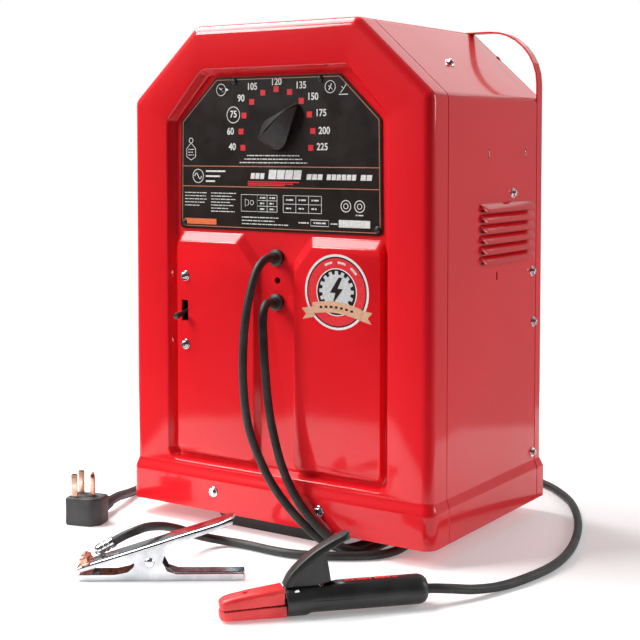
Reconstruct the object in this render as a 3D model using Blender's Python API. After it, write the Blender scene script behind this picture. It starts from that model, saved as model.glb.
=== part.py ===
"""Cabinet arc welder: formed steel case, current selector, power switch, transformer, fan and leads.

Lengths are millimetres and become metres in finish(). X points to the machine's right, Y to its back
and Z up. The origin is on the floor under the middle of the cabinet and its controls.
"""
import math

import bmesh
import bpy
from mathutils import Matrix, Vector
from mathutils.geometry import tessellate_polygon

MM = 0.001
GAP = 0.4
SHEET = 2.0

# Cabinet
HALF_WIDTH = 214.5
DEPTH = 286.0
FLARE = 4.0
FOOT_HEIGHT = 20.0
TOP = 612.0
CHAMFER_X = 98.0
CHAMFER_Z = 89.0
CREASE_LOW = 59.0
CREASE_HIGH = 70.0
CONTROL_REACH = 16.0
FRONT = -(DEPTH + CONTROL_REACH + FLARE) / 2 + CONTROL_REACH
REAR = FRONT + DEPTH
SHOULDER = TOP - CHAMFER_Z
BEND_RADIUS = 14.0
EDGE_RADIUS = 12.0
SEAM = 37.0
JOGGLE = 2.6

# Front relief
RECESS_DEPTH = 12.0
PAD_DEPTH = 4.0
CABLE_HOLE_Z = (334.0, 281.0)
CABLE_HOLE_RADIUS = 7.5
TRIM_HOLE_Z = 307.0

# Controls
DIAL_Z = 481.0
DIAL_STEPS = 10
DIAL_STEP = math.radians(21.8)
DIAL_REST = 2 * DIAL_STEP
KNOB_HEIGHT = 25.6
SWITCH_X = -135.0
SWITCH_Z = 263.0
SWITCH_TILT = math.radians(14.0)

# Rear panel
EAR_RADIUS = 68.0
EAR_DEPTH = 14.0
FAN_Z = 390.0
FAN_RADIUS = 66.0
MAINS_EXIT = (-150.0, 88.0)

# Louvres
LOUVRE_COUNT = 6
LOUVRE_PITCH = 12.3
LOUVRE_TOP = 399.0
LOUVRE_FRONT = -22.0
LOUVRE_REAR = 123.0
LOUVRE_DEPTH = 7.0

# Leads
LEAD_RADIUS = 5.0
MAINS_RADIUS = 6.0
LEAD_COIL_RADIUS = 55.0
MAINS_COIL_RADIUS = 66.0
ELECTRODE_COIL = (-70.0, 240.0)
WORK_COIL = (75.0, 234.0)
MAINS_COIL = (-240.0, 268.0)
RELIEF_FACE = FRONT + 1.6

ELECTRODE_ROUTE_A = [
    (0, RELIEF_FACE - GAP, 334), (0, -148, 333.8), (-2, -163, 322), (-6, -173, 290), (-9, -178, 255),
    (-10, -180, 215), (-9, -179, 175), (-5, -176, 140), (4, -171, 109), (18, -164, 76),
    (38, -157, 48), (62, -153, 26), (83, -149, 12), (101, -139, 5.4), (111, -121, 5.2),
    (113, -95, 5.2), (110, -50, 5.2), (104, 0, 5.2), (103, 60, 5.2), (103, 112, 5.2),
    (96, 140, 5.2), (76, 154, 5.2), (40, 159, 5.2), (0, 162, 5.2), (-26, 167, 5.2),
]
ELECTRODE_ROUTE_B = [
    (-16, 308.5, 5.2), (10, 311.5, 5.2), (40, 312.5, 5.2), (75, 309, 5.2), (110, 299, 5.2),
    (141, 282, 5.2), (171, 261, 5.2), (200, 238, 5.2), (242, 189, 5.2), (281, 118, 5.2),
    (308, 48, 5.2), (324, -16, 5.2), (328, -70, 5.2), (321, -122, 5.2), (310, -160, 5.6),
    (297, -192, 9), (282, -217, 14), (266.4, -235.2, 16.5),
]
WORK_ROUTE_A = [
    (0, RELIEF_FACE - GAP, 281), (0, -148, 280.8), (3, -158, 267), (6, -161, 238), (9, -162, 205),
    (12, -161, 170), (17, -160, 140), (28, -158, 99), (44, -156, 66), (64, -155, 42),
    (86, -154, 24), (108, -151, 11), (124, -138, 5.4), (130, -115, 5.2), (130, -80, 5.2),
    (129, -20, 5.2), (129, 50, 5.2), (129, 110, 5.2), (125, 145, 5.2), (116, 162, 5.2),
]
WORK_ROUTE_B = [
    (141, 165, 5.2), (147, 142, 5.2), (152, 110, 5.2), (155, 60, 5.2), (155, -20, 5.2),
    (156, -80, 5.2), (157, -112, 5.2), (150, -134, 5.2), (134, -151, 5.2), (106, -170, 5.2),
    (74, -185, 5.2), (43, -190, 5.2), (0, -189, 5.2), (-28, -196, 7), (-43, -218, 15),
    (-46, -248, 29), (-43.5, -282, 42), (-43.2, -310, 48), (-46.6, -330, 47),
    (-53.2, -339.5, 43.2), (-60.5, -344.5, 38.3),
]
MAINS_ROUTE_A = [
    (MAINS_EXIT[0], REAR + 34.6, 88), (-150, 195, 88), (-150, 210, 85), (-150, 225.5, 76),
    (-150.4, 237, 62), (-151.6, 243, 47.5), (-154, 248.5, 33),
]
MAINS_ROUTE_B = [
    (-316, 206, 6.2), (-312, 175, 6.2), (-305, 140, 6.2), (-298, 100, 6.2), (-287, 35, 6.2),
    (-274, -35, 6.2), (-264, -82, 7), (-256, -108, 9.5), (-249.2, -130, 12.4),
    (-244.6, -144.8, 13), (-240.2, -158.9, 13),
]

# Electrode holder, drawn along its own X from the jaw tip
HOLDER_PLACE = (120.0, -392.0, math.atan2(155.0, 145.0))
HOLDER_PIVOT = (76.0, 0.0, 26.5)
JAW_LENGTH = 63.0
HANDLE_END = 213.0
HANDLE_RADIUS = 15.0
HANDLE_AXIS_Z = 17.0

# Work clamp, drawn along its own X from the jaw tip
CLAMP_PLACE = (-87.0, -372.0, math.atan2(101.0, 146.0))
CLAMP_PIVOT = (77.6, 21.0)

# Mains plug
PLUG_PLACE = (-228.0, -212.0, math.radians(17.2))


def clear_scene():
    for thing in list(bpy.data.objects):
        bpy.data.objects.remove(thing, do_unlink=True)


def material(name, colour, roughness=0.4, metallic=0.0):
    made = bpy.data.materials.new(name)
    made.use_nodes = True
    shader = made.node_tree.nodes["Principled BSDF"]
    shader.inputs["Base Color"].default_value = (*colour, 1.0)
    shader.inputs["Roughness"].default_value = roughness
    shader.inputs["Metallic"].default_value = metallic
    return made


def finish(name, bm, look, smooth=True, recalc=True, crease=32.0):
    """Turns a bmesh drawn in millimetres into a named object in metres."""
    if recalc:
        bmesh.ops.recalc_face_normals(bm, faces=bm.faces)
    bm.transform(Matrix.Scale(MM, 4))
    mesh = bpy.data.meshes.new(name)
    bm.to_mesh(mesh)
    bm.free()
    if smooth:
        mesh.shade_smooth()
        mesh.set_sharp_from_angle(angle=math.radians(crease))
    thing = bpy.data.objects.new(name, mesh)
    bpy.context.scene.collection.objects.link(thing)
    if look is not None:
        mesh.materials.append(look)
    return thing


def fillet(points, radius, steps=3):
    """A closed outline with its corners rounded by arcs."""
    out = []
    count = len(points)
    for i in range(count):
        here = Vector(points[i])
        back = (Vector(points[i - 1]) - here).normalized()
        ahead = (Vector(points[(i + 1) % count]) - here).normalized()
        half = back.angle(ahead) / 2
        reach = radius / math.tan(half)
        centre = here + (back + ahead).normalized() * (radius / math.sin(half))
        start = here + back * reach - centre
        end = here + ahead * reach - centre
        for k in range(steps + 1):
            arm = start.lerp(end, k / steps).normalized() * radius
            out.append(tuple(centre + arm))
    return out


def place_xz(outline, y):
    return [Vector((x, y, z)) for x, z in outline]


def loop(bm, points):
    return [bm.verts.new(p) for p in points]


def bridge(bm, first, second, closed=True):
    count = len(first)
    for i in range(count if closed else count - 1):
        j = (i + 1) % count
        bm.faces.new((first[i], first[j], second[j], second[i]))


def fill(bm, loops):
    verts = [v for one in loops for v in one]
    for tri in tessellate_polygon([[v.co for v in one] for one in loops]):
        bm.faces.new([verts[i] for i in tri])


def prism(bm, first, second):
    """A closed solid between two matching outlines."""
    a, b = loop(bm, first), loop(bm, second)
    bridge(bm, a, b)
    fill(bm, [a])
    fill(bm, [b])


def extrude_xz(bm, outline, y0, y1):
    prism(bm, place_xz(outline, y0), place_xz(outline, y1))


def box(bm, low, high):
    corners = [(low[0], low[1]), (high[0], low[1]), (high[0], high[1]), (low[0], high[1])]
    prism(bm, [(x, y, low[2]) for x, y in corners], [(x, y, high[2]) for x, y in corners])


def turn(bm, profile, centre, axis="Y", sides=24):
    """A closed profile of (radius, height) points turned about an axis; radius 0 closes it."""
    rings = []
    for radius, height in profile:
        ring = []
        for k in range(sides if radius > 0 else 1):
            angle = 2 * math.pi * k / sides
            c, s = radius * math.cos(angle), radius * math.sin(angle)
            local = {"X": (height, c, s), "Y": (c, height, s), "Z": (c, s, height)}[axis]
            ring.append(bm.verts.new(Vector(centre) + Vector(local)))
        rings.append(ring)
    closed = profile[0][0] > 0
    pairs = list(zip(rings, rings[1:])) + ([(rings[-1], rings[0])] if closed else [])
    for a, b in pairs:
        for k in range(sides):
            j = (k + 1) % sides
            face = [a[k % len(a)], a[j % len(a)], b[j % len(b)], b[k % len(b)]]
            face = list(dict.fromkeys(face))
            bm.faces.new(face)


def rod(bm, radius, centre, start, end, axis="Y", sides=24, bevel=0.0):
    if bevel:
        profile = [(0, start), (radius - bevel, start), (radius, start + bevel),
                   (radius, end - bevel), (radius - bevel, end), (0, end)]
    else:
        profile = [(0, start), (radius, start), (radius, end), (0, end)]
    turn(bm, profile, centre, axis, sides)


def cutter(name, build):
    bm = bmesh.new()
    build(bm)
    made = finish(name, bm, None, smooth=False)
    made.hide_render = True
    made.display_type = "WIRE"
    return made


def boolean(target, name, build, operation="DIFFERENCE"):
    modifier = target.modifiers.new(name, "BOOLEAN")
    modifier.operation = operation
    modifier.object = cutter(target.name + "_" + name, build)
    return modifier


def thicken(thing, thickness=SHEET):
    modifier = thing.modifiers.new("sheet", "SOLIDIFY")
    modifier.thickness = thickness * MM
    modifier.offset = -1
    modifier.use_even_offset = True
    return modifier


def set_down(things, place):
    """Moves pieces drawn along their own X to their place on the floor."""
    x, y, yaw = place
    for thing in things:
        thing.location = (x * MM, y * MM, 0)
        thing.rotation_euler = (0, 0, yaw)


# ---------------------------------------------------------------- cabinet


def cabinet_path():
    """Right bottom, over the top, to left bottom: (x, z, outward x, outward z, flare)."""
    corners = [(HALF_WIDTH, CREASE_HIGH), (HALF_WIDTH, SHOULDER), (HALF_WIDTH - CHAMFER_X, TOP)]
    right = []
    for i in (1, 2):
        here = Vector(corners[i])
        after = Vector(corners[i + 1]) if i == 1 else Vector((0, TOP))
        back = (Vector(corners[i - 1]) - here).normalized()
        ahead = (after - here).normalized()
        half = back.angle(ahead) / 2
        centre = here + (back + ahead).normalized() * (BEND_RADIUS / math.sin(half))
        reach = BEND_RADIUS / math.tan(half)
        start, end = here + back * reach - centre, here + ahead * reach - centre
        for k in range(4):
            arm = start.lerp(end, k / 3).normalized()
            point = centre + arm * BEND_RADIUS
            right.append((point.x, point.y, arm.x, arm.y, 0.0))
    foot = [(HALF_WIDTH, FOOT_HEIGHT, 1.0, 0.0, FLARE), (HALF_WIDTH, CREASE_LOW, 1.0, 0.0, FLARE),
            (HALF_WIDTH, CREASE_HIGH, 1.0, 0.0, 0.0)]
    right = foot + right
    return right + [(-x, z, -nx, nz, flare) for x, z, nx, nz, flare in reversed(right)]


def section(path, inset, y, flare_y=0.0):
    """The cabinet outline pulled in by inset at depth y; flare_y moves flared points in Y."""
    points = []
    for x, z, nx, nz, flare in path:
        side = math.copysign(flare, nx) if flare else 0.0
        points.append(Vector((x + side - nx * inset, y + flare_y * flare / FLARE, z - nz * inset)))
    return points


def recess_outline(grow):
    half_top, half = 102 + grow * 0.5, 152 + grow
    points = [(-half, 80 - grow), (half, 80 - grow), (half, 499), (half_top, 552 + grow),
              (-half_top, 552 + grow), (-half, 499)]
    return fillet(points, 7 + grow * 0.5, 2)


def pad_outline(side, rise):
    """One raised pad: rise 0 is its foot, 1 its face."""
    outer, inner = 149 - 2 * rise, 24 + 6 * rise
    top, low = 360 - 11 * rise, 84 + 4 * rise + 0.4 * side
    points = [(side * outer, low), (side * inner, low), (side * inner, top - 30),
              (side * (inner + 25), top), (side * outer, top)]
    if side < 0:
        points.reverse()
    return fillet(points, 5, 2)


def front_panel(red):
    bm = bmesh.new()
    path = cabinet_path()
    stations = [(0.0, FRONT + SEAM, 0.0), (0.0, FRONT + EDGE_RADIUS, 0.0)]
    for k in range(1, 7):
        angle = math.radians(15 * k)
        inset = EDGE_RADIUS * (1 - math.cos(angle))
        depth = EDGE_RADIUS * (1 - math.sin(angle))
        stations.append((inset, FRONT + depth, -FLARE * k / 6))
    rings = [loop(bm, section(path, *station)) for station in stations]
    for a, b in zip(rings, rings[1:]):
        bridge(bm, a, b, closed=False)
    edge = rings[-1]
    last = len(edge) - 1
    for i in (0, 1):
        bm.faces.new((edge[i], edge[i + 1], edge[last - i - 1], edge[last - i]))
    lip = loop(bm, place_xz(recess_outline(8), FRONT))
    floor = loop(bm, place_xz(recess_outline(0), FRONT + RECESS_DEPTH))
    fill(bm, [edge[2:last - 1], lip])
    bridge(bm, lip, floor)
    feet = []
    for side in (-1, 1):
        foot = loop(bm, place_xz(pad_outline(side, 0), FRONT + RECESS_DEPTH))
        face = loop(bm, place_xz(pad_outline(side, 1), FRONT + PAD_DEPTH))
        bridge(bm, foot, face)
        fill(bm, [face])
        feet.append(foot)
    fill(bm, [floor, *feet])
    bmesh.ops.recalc_face_normals(bm, faces=bm.faces)
    skirt = min(bm.faces, key=lambda f: f.calc_center_median().y + abs(f.calc_center_median().x))
    if skirt.normal.y > 0:
        bmesh.ops.reverse_faces(bm, faces=bm.faces)
    panel = finish("front_panel", bm, red, recalc=False, crease=17.0)
    thicken(panel)
    boolean(panel, "holes", front_holes)
    return panel


def front_holes(bm):
    start, end = FRONT - 2, FRONT + RECESS_DEPTH + 6
    for z in CABLE_HOLE_Z:
        rod(bm, CABLE_HOLE_RADIUS, (0, 0, z), start, end)
    rod(bm, 4.0, (0, 0, TRIM_HOLE_Z), start, end, sides=16)
    rod(bm, 7.0, (0, 0, DIAL_Z), start, end)
    box(bm, (SWITCH_X - 5, start, SWITCH_Z - 13), (SWITCH_X + 5, end, SWITCH_Z + 13))


def joggled(path, y):
    """The outline with sides and top pulled in for an overlapping flange, chamfers as they are."""
    points = []
    slope = CHAMFER_Z / CHAMFER_X
    for x, z, nx, nz, flare in path:
        side = math.copysign(flare, nx) if flare else 0.0
        reach = min(abs(x + side), HALF_WIDTH + abs(side) - JOGGLE)
        height = min(z, TOP - JOGGLE)
        if reach > HALF_WIDTH - CHAMFER_X and height > SHOULDER - BEND_RADIUS:
            limit = TOP - (reach - HALF_WIDTH + CHAMFER_X) * slope
            height = min(height, limit)
        points.append(Vector((math.copysign(reach, x), y, height)))
    return points


def case_wrap(red):
    bm = bmesh.new()
    path = cabinet_path()
    rings = [
        loop(bm, section(path, JOGGLE, FRONT + SEAM - 14)),
        loop(bm, section(path, JOGGLE, FRONT + SEAM + 0.3)),
        loop(bm, section(path, 0.0, FRONT + SEAM + 0.9)),
        loop(bm, section(path, 0.0, REAR - EAR_DEPTH - 0.9)),
        loop(bm, joggled(path, REAR - EAR_DEPTH - 0.3)),
        loop(bm, joggled(path, REAR - SHEET - GAP)),
    ]
    for a, b in zip(rings, rings[1:]):
        bridge(bm, a, b, closed=False)
    bmesh.ops.recalc_face_normals(bm, faces=bm.faces)
    roof = max(bm.faces, key=lambda f: f.calc_center_median().z)
    if roof.normal.z < 0:
        bmesh.ops.reverse_faces(bm, faces=bm.faces)
    wrap = finish("case_wrap", bm, red, recalc=False, crease=17.0)
    thicken(wrap)
    boolean(wrap, "hoods", lambda b: louvres(b, 0.0), "UNION")
    boolean(wrap, "slots", lambda b: louvres(b, 1.3))
    boolean(wrap, "keys", side_slots)
    return wrap


def louvres(bm, inner):
    """Punched louvres on both sides; inner is the wall thickness of the hollow, 0 for the hood."""
    for side in (-1, 1):
        for i in range(LOUVRE_COUNT):
            top = LOUVRE_TOP - i * LOUVRE_PITCH - inner
            low = LOUVRE_TOP - (i + 1) * LOUVRE_PITCH + 2.4 - (1.0 if inner else 0.0)
            out = side * (HALF_WIDTH + LOUVRE_DEPTH - inner)
            base = side * (HALF_WIDTH - (SHEET + 1 if inner else 1.0))
            front, rear = LOUVRE_FRONT + inner, LOUVRE_REAR - inner
            prism(bm, [(base, front, top), (base, front, low), (out, front + 12, low)],
                  [(base, rear, top), (base, rear, low), (out, rear - 12, low)])


def side_slots(bm):
    for side in (-1, 1):
        for y, z in ((1, 457), (101, 457), (24, 312)):
            x = side * HALF_WIDTH
            box(bm, (x - 6, y - 2, z - 5), (x + 6, y + 2, z + 5))


def rear_path():
    """Rear flange: right bottom, round the right ear, over the top, to left bottom."""
    right = [(HALF_WIDTH + FLARE, FOOT_HEIGHT), (HALF_WIDTH + FLARE, CREASE_LOW),
             (HALF_WIDTH, CREASE_HIGH), (HALF_WIDTH, SHOULDER)]
    for k in range(9):
        angle = math.radians(90 * k / 8)
        right.append((HALF_WIDTH - EAR_RADIUS + EAR_RADIUS * math.cos(angle),
                      TOP - EAR_RADIUS + EAR_RADIUS * math.sin(angle)))
    right.append((HALF_WIDTH - CHAMFER_X, TOP))
    return right + [(-x, z) for x, z in reversed(right)]


def rear_panel(red):
    bm = bmesh.new()
    path = rear_path()
    count = len(path)
    flared = (0, 1, count - 2, count - 1)
    back = [(x, REAR + (FLARE if i in flared else 0), z) for i, (x, z) in enumerate(path)]
    front = [(x, REAR - EAR_DEPTH, z) for x, z in path]
    near, far = loop(bm, back), loop(bm, front)
    bridge(bm, near, far, closed=False)
    last = count - 1
    for i in (0, 1):
        bm.faces.new((near[i], near[i + 1], near[last - i - 1], near[last - i]))
    ear_top = 13
    fill(bm, [[near[2], near[3], near[ear_top], near[last - ear_top], near[last - 3], near[last - 2]]])
    bmesh.ops.recalc_face_normals(bm, faces=bm.faces)
    plate = max(bm.faces, key=lambda f: f.calc_center_median().y - abs(f.calc_center_median().x))
    if plate.normal.y < 0:
        bmesh.ops.reverse_faces(bm, faces=bm.faces)
    panel = finish("rear_panel", bm, red, recalc=False, crease=17.0)
    thicken(panel)
    boolean(panel, "vents", rear_vents)
    return panel


def rear_vents(bm):
    for i in range(8):
        z = FAN_Z + (i - 3.5) * 14
        half = math.sqrt(FAN_RADIUS ** 2 - (z - FAN_Z) ** 2)
        box(bm, (-half, REAR - 6, z - 3.5), (half, REAR + 6, z + 3.5))
    for side in (-1, 1):
        for i in range(6):
            x = side * (80 + 14 * i)
            box(bm, (x - 3, REAR - 6, 150), (x + 3, REAR + 6, 200))
    rod(bm, 11.0, (MAINS_EXIT[0], 0, MAINS_EXIT[1]), REAR - 6, REAR + 6)


def base_pan(red):
    half = HALF_WIDTH + FLARE - JOGGLE - SHEET - GAP
    low, high = FRONT - FLARE + SHEET + GAP, REAR + FLARE - SHEET - GAP
    outline = fillet([(-half, low), (half, low), (half, high), (-half, high)], 13, 3)
    bm = bmesh.new()
    tray = loop(bm, [(x, y, 22) for x, y in outline])
    rim = loop(bm, [(x, y, 50) for x, y in outline])
    bridge(bm, tray, rim)
    fill(bm, [tray])
    bmesh.ops.recalc_face_normals(bm, faces=bm.faces)
    under = min(bm.faces, key=lambda f: f.calc_center_median().z)
    if under.normal.z > 0:
        bmesh.ops.reverse_faces(bm, faces=bm.faces)
    pan = finish("base_pan", bm, red, recalc=False)
    thicken(pan)
    boolean(pan, "vents", base_vents)
    return pan


def base_vents(bm):
    for side in (-1, 1):
        for i in range(7):
            y = -72 + 24 * i
            box(bm, (side * 155 - 28, y - 4, 18), (side * 155 + 28, y + 4, 27))


def foot_rail(name, y, black):
    """A channel foot with sloped ends, open to the top under the base pan."""
    bm = bmesh.new()
    outline = [(-80, 0), (80, 0), (95, 14), (95, 21.6), (-95, 21.6), (-95, 14)]
    extrude_xz(bm, outline, y - 14, y + 14)
    rail = finish(name, bm, black, smooth=False)
    boolean(rail, "channel", lambda b: box(b, (-88, y - 12, 13.5), (88, y + 12, 30)))
    return rail


# ---------------------------------------------------------------- controls


def nameplate(black):
    outline = fillet([(-146.5, 365), (146.5, 365), (144.5, 497), (90, 549), (-90, 549),
                      (-144.5, 497)], 5, 2)
    y = FRONT + RECESS_DEPTH - GAP
    bm = bmesh.new()
    extrude_xz(bm, outline, y - 1.2, y)
    plate = finish("nameplate", bm, black, smooth=False)
    boolean(plate, "holes", plate_holes)
    return plate


def plate_holes(bm):
    for x, z in rivet_places():
        rod(bm, 1.9, (x, 0, z), FRONT, FRONT + 20, sides=12)
    rod(bm, 7.0, (0, 0, DIAL_Z), FRONT, FRONT + 20)


def rivet_places():
    return [(-62, 544), (62, 544), (-140, 372), (140, 372)]


def nameplate_rivet(number, x, z, black):
    top = FRONT + RECESS_DEPTH - GAP - 1.2 - GAP
    bm = bmesh.new()
    turn(bm, [(0, top - 2.4), (2.4, top - 2.0), (4.0, top - 0.8), (4.0, top), (1.5, top),
              (1.5, top + 1.4), (0, top + 1.4)], (x, 0, z), sides=16)
    return finish(f"nameplate_rivet_{number}", bm, black)


def selector_knob(black):
    """A pointer knob: a steep hip roof from a broad tail down to a narrow tip."""
    base = FRONT + RECESS_DEPTH - GAP - 1.2 - 0.8
    nose = base - KNOB_HEIGHT
    foot = [(-20, -15), (20, -15), (20, 2), (3, 47), (-3, 47), (-20, 2)]
    head = [(-3.5, -11), (3.5, -11), (3, 4), (1.2, 30), (-1.2, 30), (-3, 4)]
    turn_back = Matrix.Rotation(DIAL_REST, 3, "Y")

    def placed(points, y):
        return [turn_back @ Vector((x, y, z)) + Vector((0, 0, DIAL_Z)) for x, z in points]

    bm = bmesh.new()
    a, b, c = (loop(bm, placed(foot, base)), loop(bm, placed(foot, base - 5)),
               loop(bm, placed(head, nose)))
    bridge(bm, a, b)
    bridge(bm, b, c)
    fill(bm, [a])
    fill(bm, [c])
    knob = finish("selector_knob", bm, black, smooth=False)
    soften = knob.modifiers.new("soften", "BEVEL")
    soften.width = 0.8 * MM
    soften.segments = 1
    boolean(knob, "socket", lambda m: rod(m, 4.3, (0, 0, DIAL_Z), base - 15, base + 5, sides=16))
    return knob


def selector_shaft(steel):
    base = FRONT + RECESS_DEPTH - GAP - 1.2 - 0.8
    bm = bmesh.new()
    rod(bm, 4.0, (0, 0, DIAL_Z), base - 14.5, FRONT + 58, sides=16, bevel=0.5)
    return finish("selector_shaft", bm, steel)


def selector_deck(brown):
    """Switch deck with its stepped contact studs and a spacer that rests behind the panel."""
    bm = bmesh.new()
    start, end = FRONT + 24, FRONT + 34
    turn(bm, [(5, start), (5, end), (56, end), (56, start + 1), (55, start)], (0, 0, DIAL_Z),
         sides=32)
    deck = finish("selector_deck", bm, brown)
    boolean(deck, "studs", deck_studs, "UNION")
    return deck


def deck_studs(bm):
    for i in range(DIAL_STEPS + 1):
        angle = (i - DIAL_STEPS / 2) * DIAL_STEP
        x, z = 44 * math.sin(angle), DIAL_Z + 44 * math.cos(angle)
        rod(bm, 4.0, (x, 0, z), FRONT + 33, FRONT + 37, sides=10)
    for x in (-46, 46):
        rod(bm, 5.0, (x, 0, DIAL_Z - 26), FRONT + RECESS_DEPTH + SHEET + GAP, FRONT + 25, sides=12)


def selector_contact_arm(copper):
    """Wiper arm that carries the current to the chosen stud."""
    rest = Matrix.Rotation(DIAL_REST, 3, "Y")
    outline = [(-6, -8), (6, -8), (8, 0), (5, 46), (0, 49), (-5, 46), (-8, 0)]

    def placed(y):
        return [rest @ Vector((x, y, z)) + Vector((0, 0, DIAL_Z)) for x, z in outline]

    bm = bmesh.new()
    prism(bm, placed(FRONT + 37.4), placed(FRONT + 42))
    arm = finish("selector_contact_arm", bm, copper, smooth=False)
    boolean(arm, "bore", lambda m: rod(m, 4.3, (0, 0, DIAL_Z), FRONT + 30, FRONT + 50, sides=16))
    return arm


def power_switch_body(black):
    back = FRONT + PAD_DEPTH + SHEET + GAP
    bm = bmesh.new()
    box(bm, (SWITCH_X - 8.6, back, SWITCH_Z - 24), (SWITCH_X + 8.6, back + 36, SWITCH_Z + 24))
    body = finish("power_switch_body", bm, black, smooth=False)
    boolean(body, "well", lambda m: box(m, (SWITCH_X - 5, back - 4, SWITCH_Z - 12),
                                        (SWITCH_X + 5, back + 14, SWITCH_Z + 12)))
    return body


def switch_pivot():
    return Vector((SWITCH_X, FRONT + 11, SWITCH_Z))


def power_switch_lever(black):
    pivot = switch_pivot()
    tilt = Matrix.Rotation(SWITCH_TILT, 4, "X")
    bm = bmesh.new()
    turn(bm, [(0, 5), (3.5, 4), (3.5, 0), (2.8, -6), (3.2, -16), (4.2, -22), (3.4, -25),
              (0, -26)], (0, 0, 0), sides=16)
    bm.transform(Matrix.Translation(pivot) @ tilt)
    return finish("power_switch_lever", bm, black)


# ---------------------------------------------------------------- inside


def transformer_core(iron):
    """Laminated shell core: two windows round a centre leg."""
    outline = [(-95, 27), (95, 27), (95, 215), (-95, 215)]
    bm = bmesh.new()
    extrude_xz(bm, outline, -42, 48)
    core = finish("transformer_core", bm, iron, smooth=False)

    def windows(m):
        for side in (-1, 1):
            low, high = sorted((side * 23, side * 72))
            box(m, (low, -60, 50), (high, 70, 192))

    boolean(core, "windows", windows)
    return core


def winding(name, low, high, look):
    """A rectangular coil with round corners about the centre leg."""
    outer = fillet([(-70, -64), (70, -64), (70, 70), (-70, 70)], 22, 4)
    inner = fillet([(-24, -43.5), (24, -43.5), (24, 49.5), (-24, 49.5)], 1.5, 4)
    bm = bmesh.new()
    rings = [loop(bm, [(x, y, z) for x, y in outline])
             for outline, z in ((outer, low), (outer, high), (inner, high), (inner, low))]
    for i in range(4):
        bridge(bm, rings[i], rings[(i + 1) % 4])
    return finish(name, bm, look)


def core_clamp(name, y, side, steel):
    """Angle iron that holds the core's foot down on the base pan."""
    bm = bmesh.new()
    foot = [(y, 24.4), (y + side * 26, 24.4), (y + side * 26, 27.4), (y + side * 3, 27.4),
            (y + side * 3, 46), (y, 46)]
    prism(bm, [(-100, a, z) for a, z in foot], [(100, a, z) for a, z in foot])
    return finish(name, bm, steel, smooth=False)


def fan_bracket(steel):
    """A strap across the rear panel's vents that carries the motor."""
    y = REAR - SHEET - GAP
    outline = [(-104, y), (-104, y - 2), (-84, y - 2), (-84, y - 56), (84, y - 56), (84, y - 2),
               (104, y - 2), (104, y), (82, y), (82, y - 54), (-82, y - 54), (-82, y)]
    bm = bmesh.new()
    prism(bm, [(x, a, FAN_Z - 16) for x, a in outline], [(x, a, FAN_Z + 16) for x, a in outline])
    bracket = finish("fan_bracket", bm, steel, smooth=False)
    boolean(bracket, "bore", lambda m: rod(m, 6, (0, 0, FAN_Z), y - 70, y - 40))
    return bracket


def fan_motor(black):
    face = REAR - SHEET - GAP - 56 - GAP
    bm = bmesh.new()
    rod(bm, 30, (0, 0, FAN_Z), face - 42, face, bevel=3)
    return finish("fan_motor", bm, black)


def fan_blade(look):
    """Hub with its shaft and five pitched blades."""
    face = REAR - SHEET - GAP - 56
    bm = bmesh.new()
    turn(bm, [(0, face + 0.2), (3, face + 0.2), (3, face + 14), (15, face + 14), (15, face + 34),
              (0, face + 34)], (0, 0, FAN_Z), sides=20)
    fan = finish("fan_blade", bm, look)
    boolean(fan, "blades", lambda m: fan_blades(m, face + 24), "UNION")
    return fan


def fan_blades(bm, y):
    outline = [(-9, 11), (9, 11), (24, 52), (14, FAN_RADIUS - 2), (-16, FAN_RADIUS - 4)]
    for i in range(5):
        turn_to = Matrix.Rotation(2 * math.pi * i / 5, 3, "Y") @ Matrix.Rotation(0.42, 3, "Z")
        points = [[turn_to @ Vector((x, depth, z)) + Vector((0, y, FAN_Z)) for x, z in outline]
                  for depth in (-0.8, 0.8)]
        prism(bm, *points)


# ---------------------------------------------------------------- cables


def smooth_route(points, step):
    """Evenly spaced points along a Catmull-Rom curve through the route."""
    knots = [Vector(p) for p in points]
    knots = [2 * knots[0] - knots[1]] + knots + [2 * knots[-1] - knots[-2]]
    fine = []
    for i in range(1, len(knots) - 2):
        a, b, c, d = knots[i - 1:i + 3]
        for k in range(12):
            t = k / 12
            fine.append(0.5 * (2 * b + (c - a) * t + (2 * a - 5 * b + 4 * c - d) * t ** 2
                               + (3 * b - a - 3 * c + d) * t ** 3))
    fine.append(knots[-2])
    travel = [0.0]
    for a, b in zip(fine, fine[1:]):
        travel.append(travel[-1] + (b - a).length)
    count = max(2, round(travel[-1] / step))
    out = []
    j = 0
    for i in range(count + 1):
        want = travel[-1] * i / count
        while j < len(travel) - 2 and travel[j + 1] < want:
            j += 1
        share = (want - travel[j]) / (travel[j + 1] - travel[j])
        out.append(fine[j].lerp(fine[j + 1], share))
    return out


def tube(name, route, radius, rubber):
    curve = bpy.data.curves.new(name, "CURVE")
    curve.dimensions = "3D"
    curve.bevel_depth = radius * MM
    curve.bevel_resolution = 2
    curve.use_fill_caps = True
    points = smooth_route(route, 2.4 * radius)
    spline = curve.splines.new("POLY")
    spline.points.add(len(points) - 1)
    for knot, point in zip(spline.points, points):
        knot.co = (*(point * MM), 1.0)
    curve.materials.append(rubber)
    thing = bpy.data.objects.new(name, curve)
    bpy.context.scene.collection.objects.link(thing)
    return thing


def coil(name, centre, middle, radius, rubber):
    """The space that a neat coil of two by two turns fills."""
    bm = bmesh.new()
    half, high, soft = 2 * radius + 0.4, 4 * radius + 0.6, 3.0
    inner, outer = middle - half, middle + half
    turn(bm, [(inner + soft, 0), (outer - soft, 0), (outer, soft), (outer, high - soft),
              (outer - soft, high), (inner + soft, high), (inner, high - soft), (inner, soft)],
         (*centre, 0), "Z", sides=28)
    return finish(name, bm, rubber)


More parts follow.
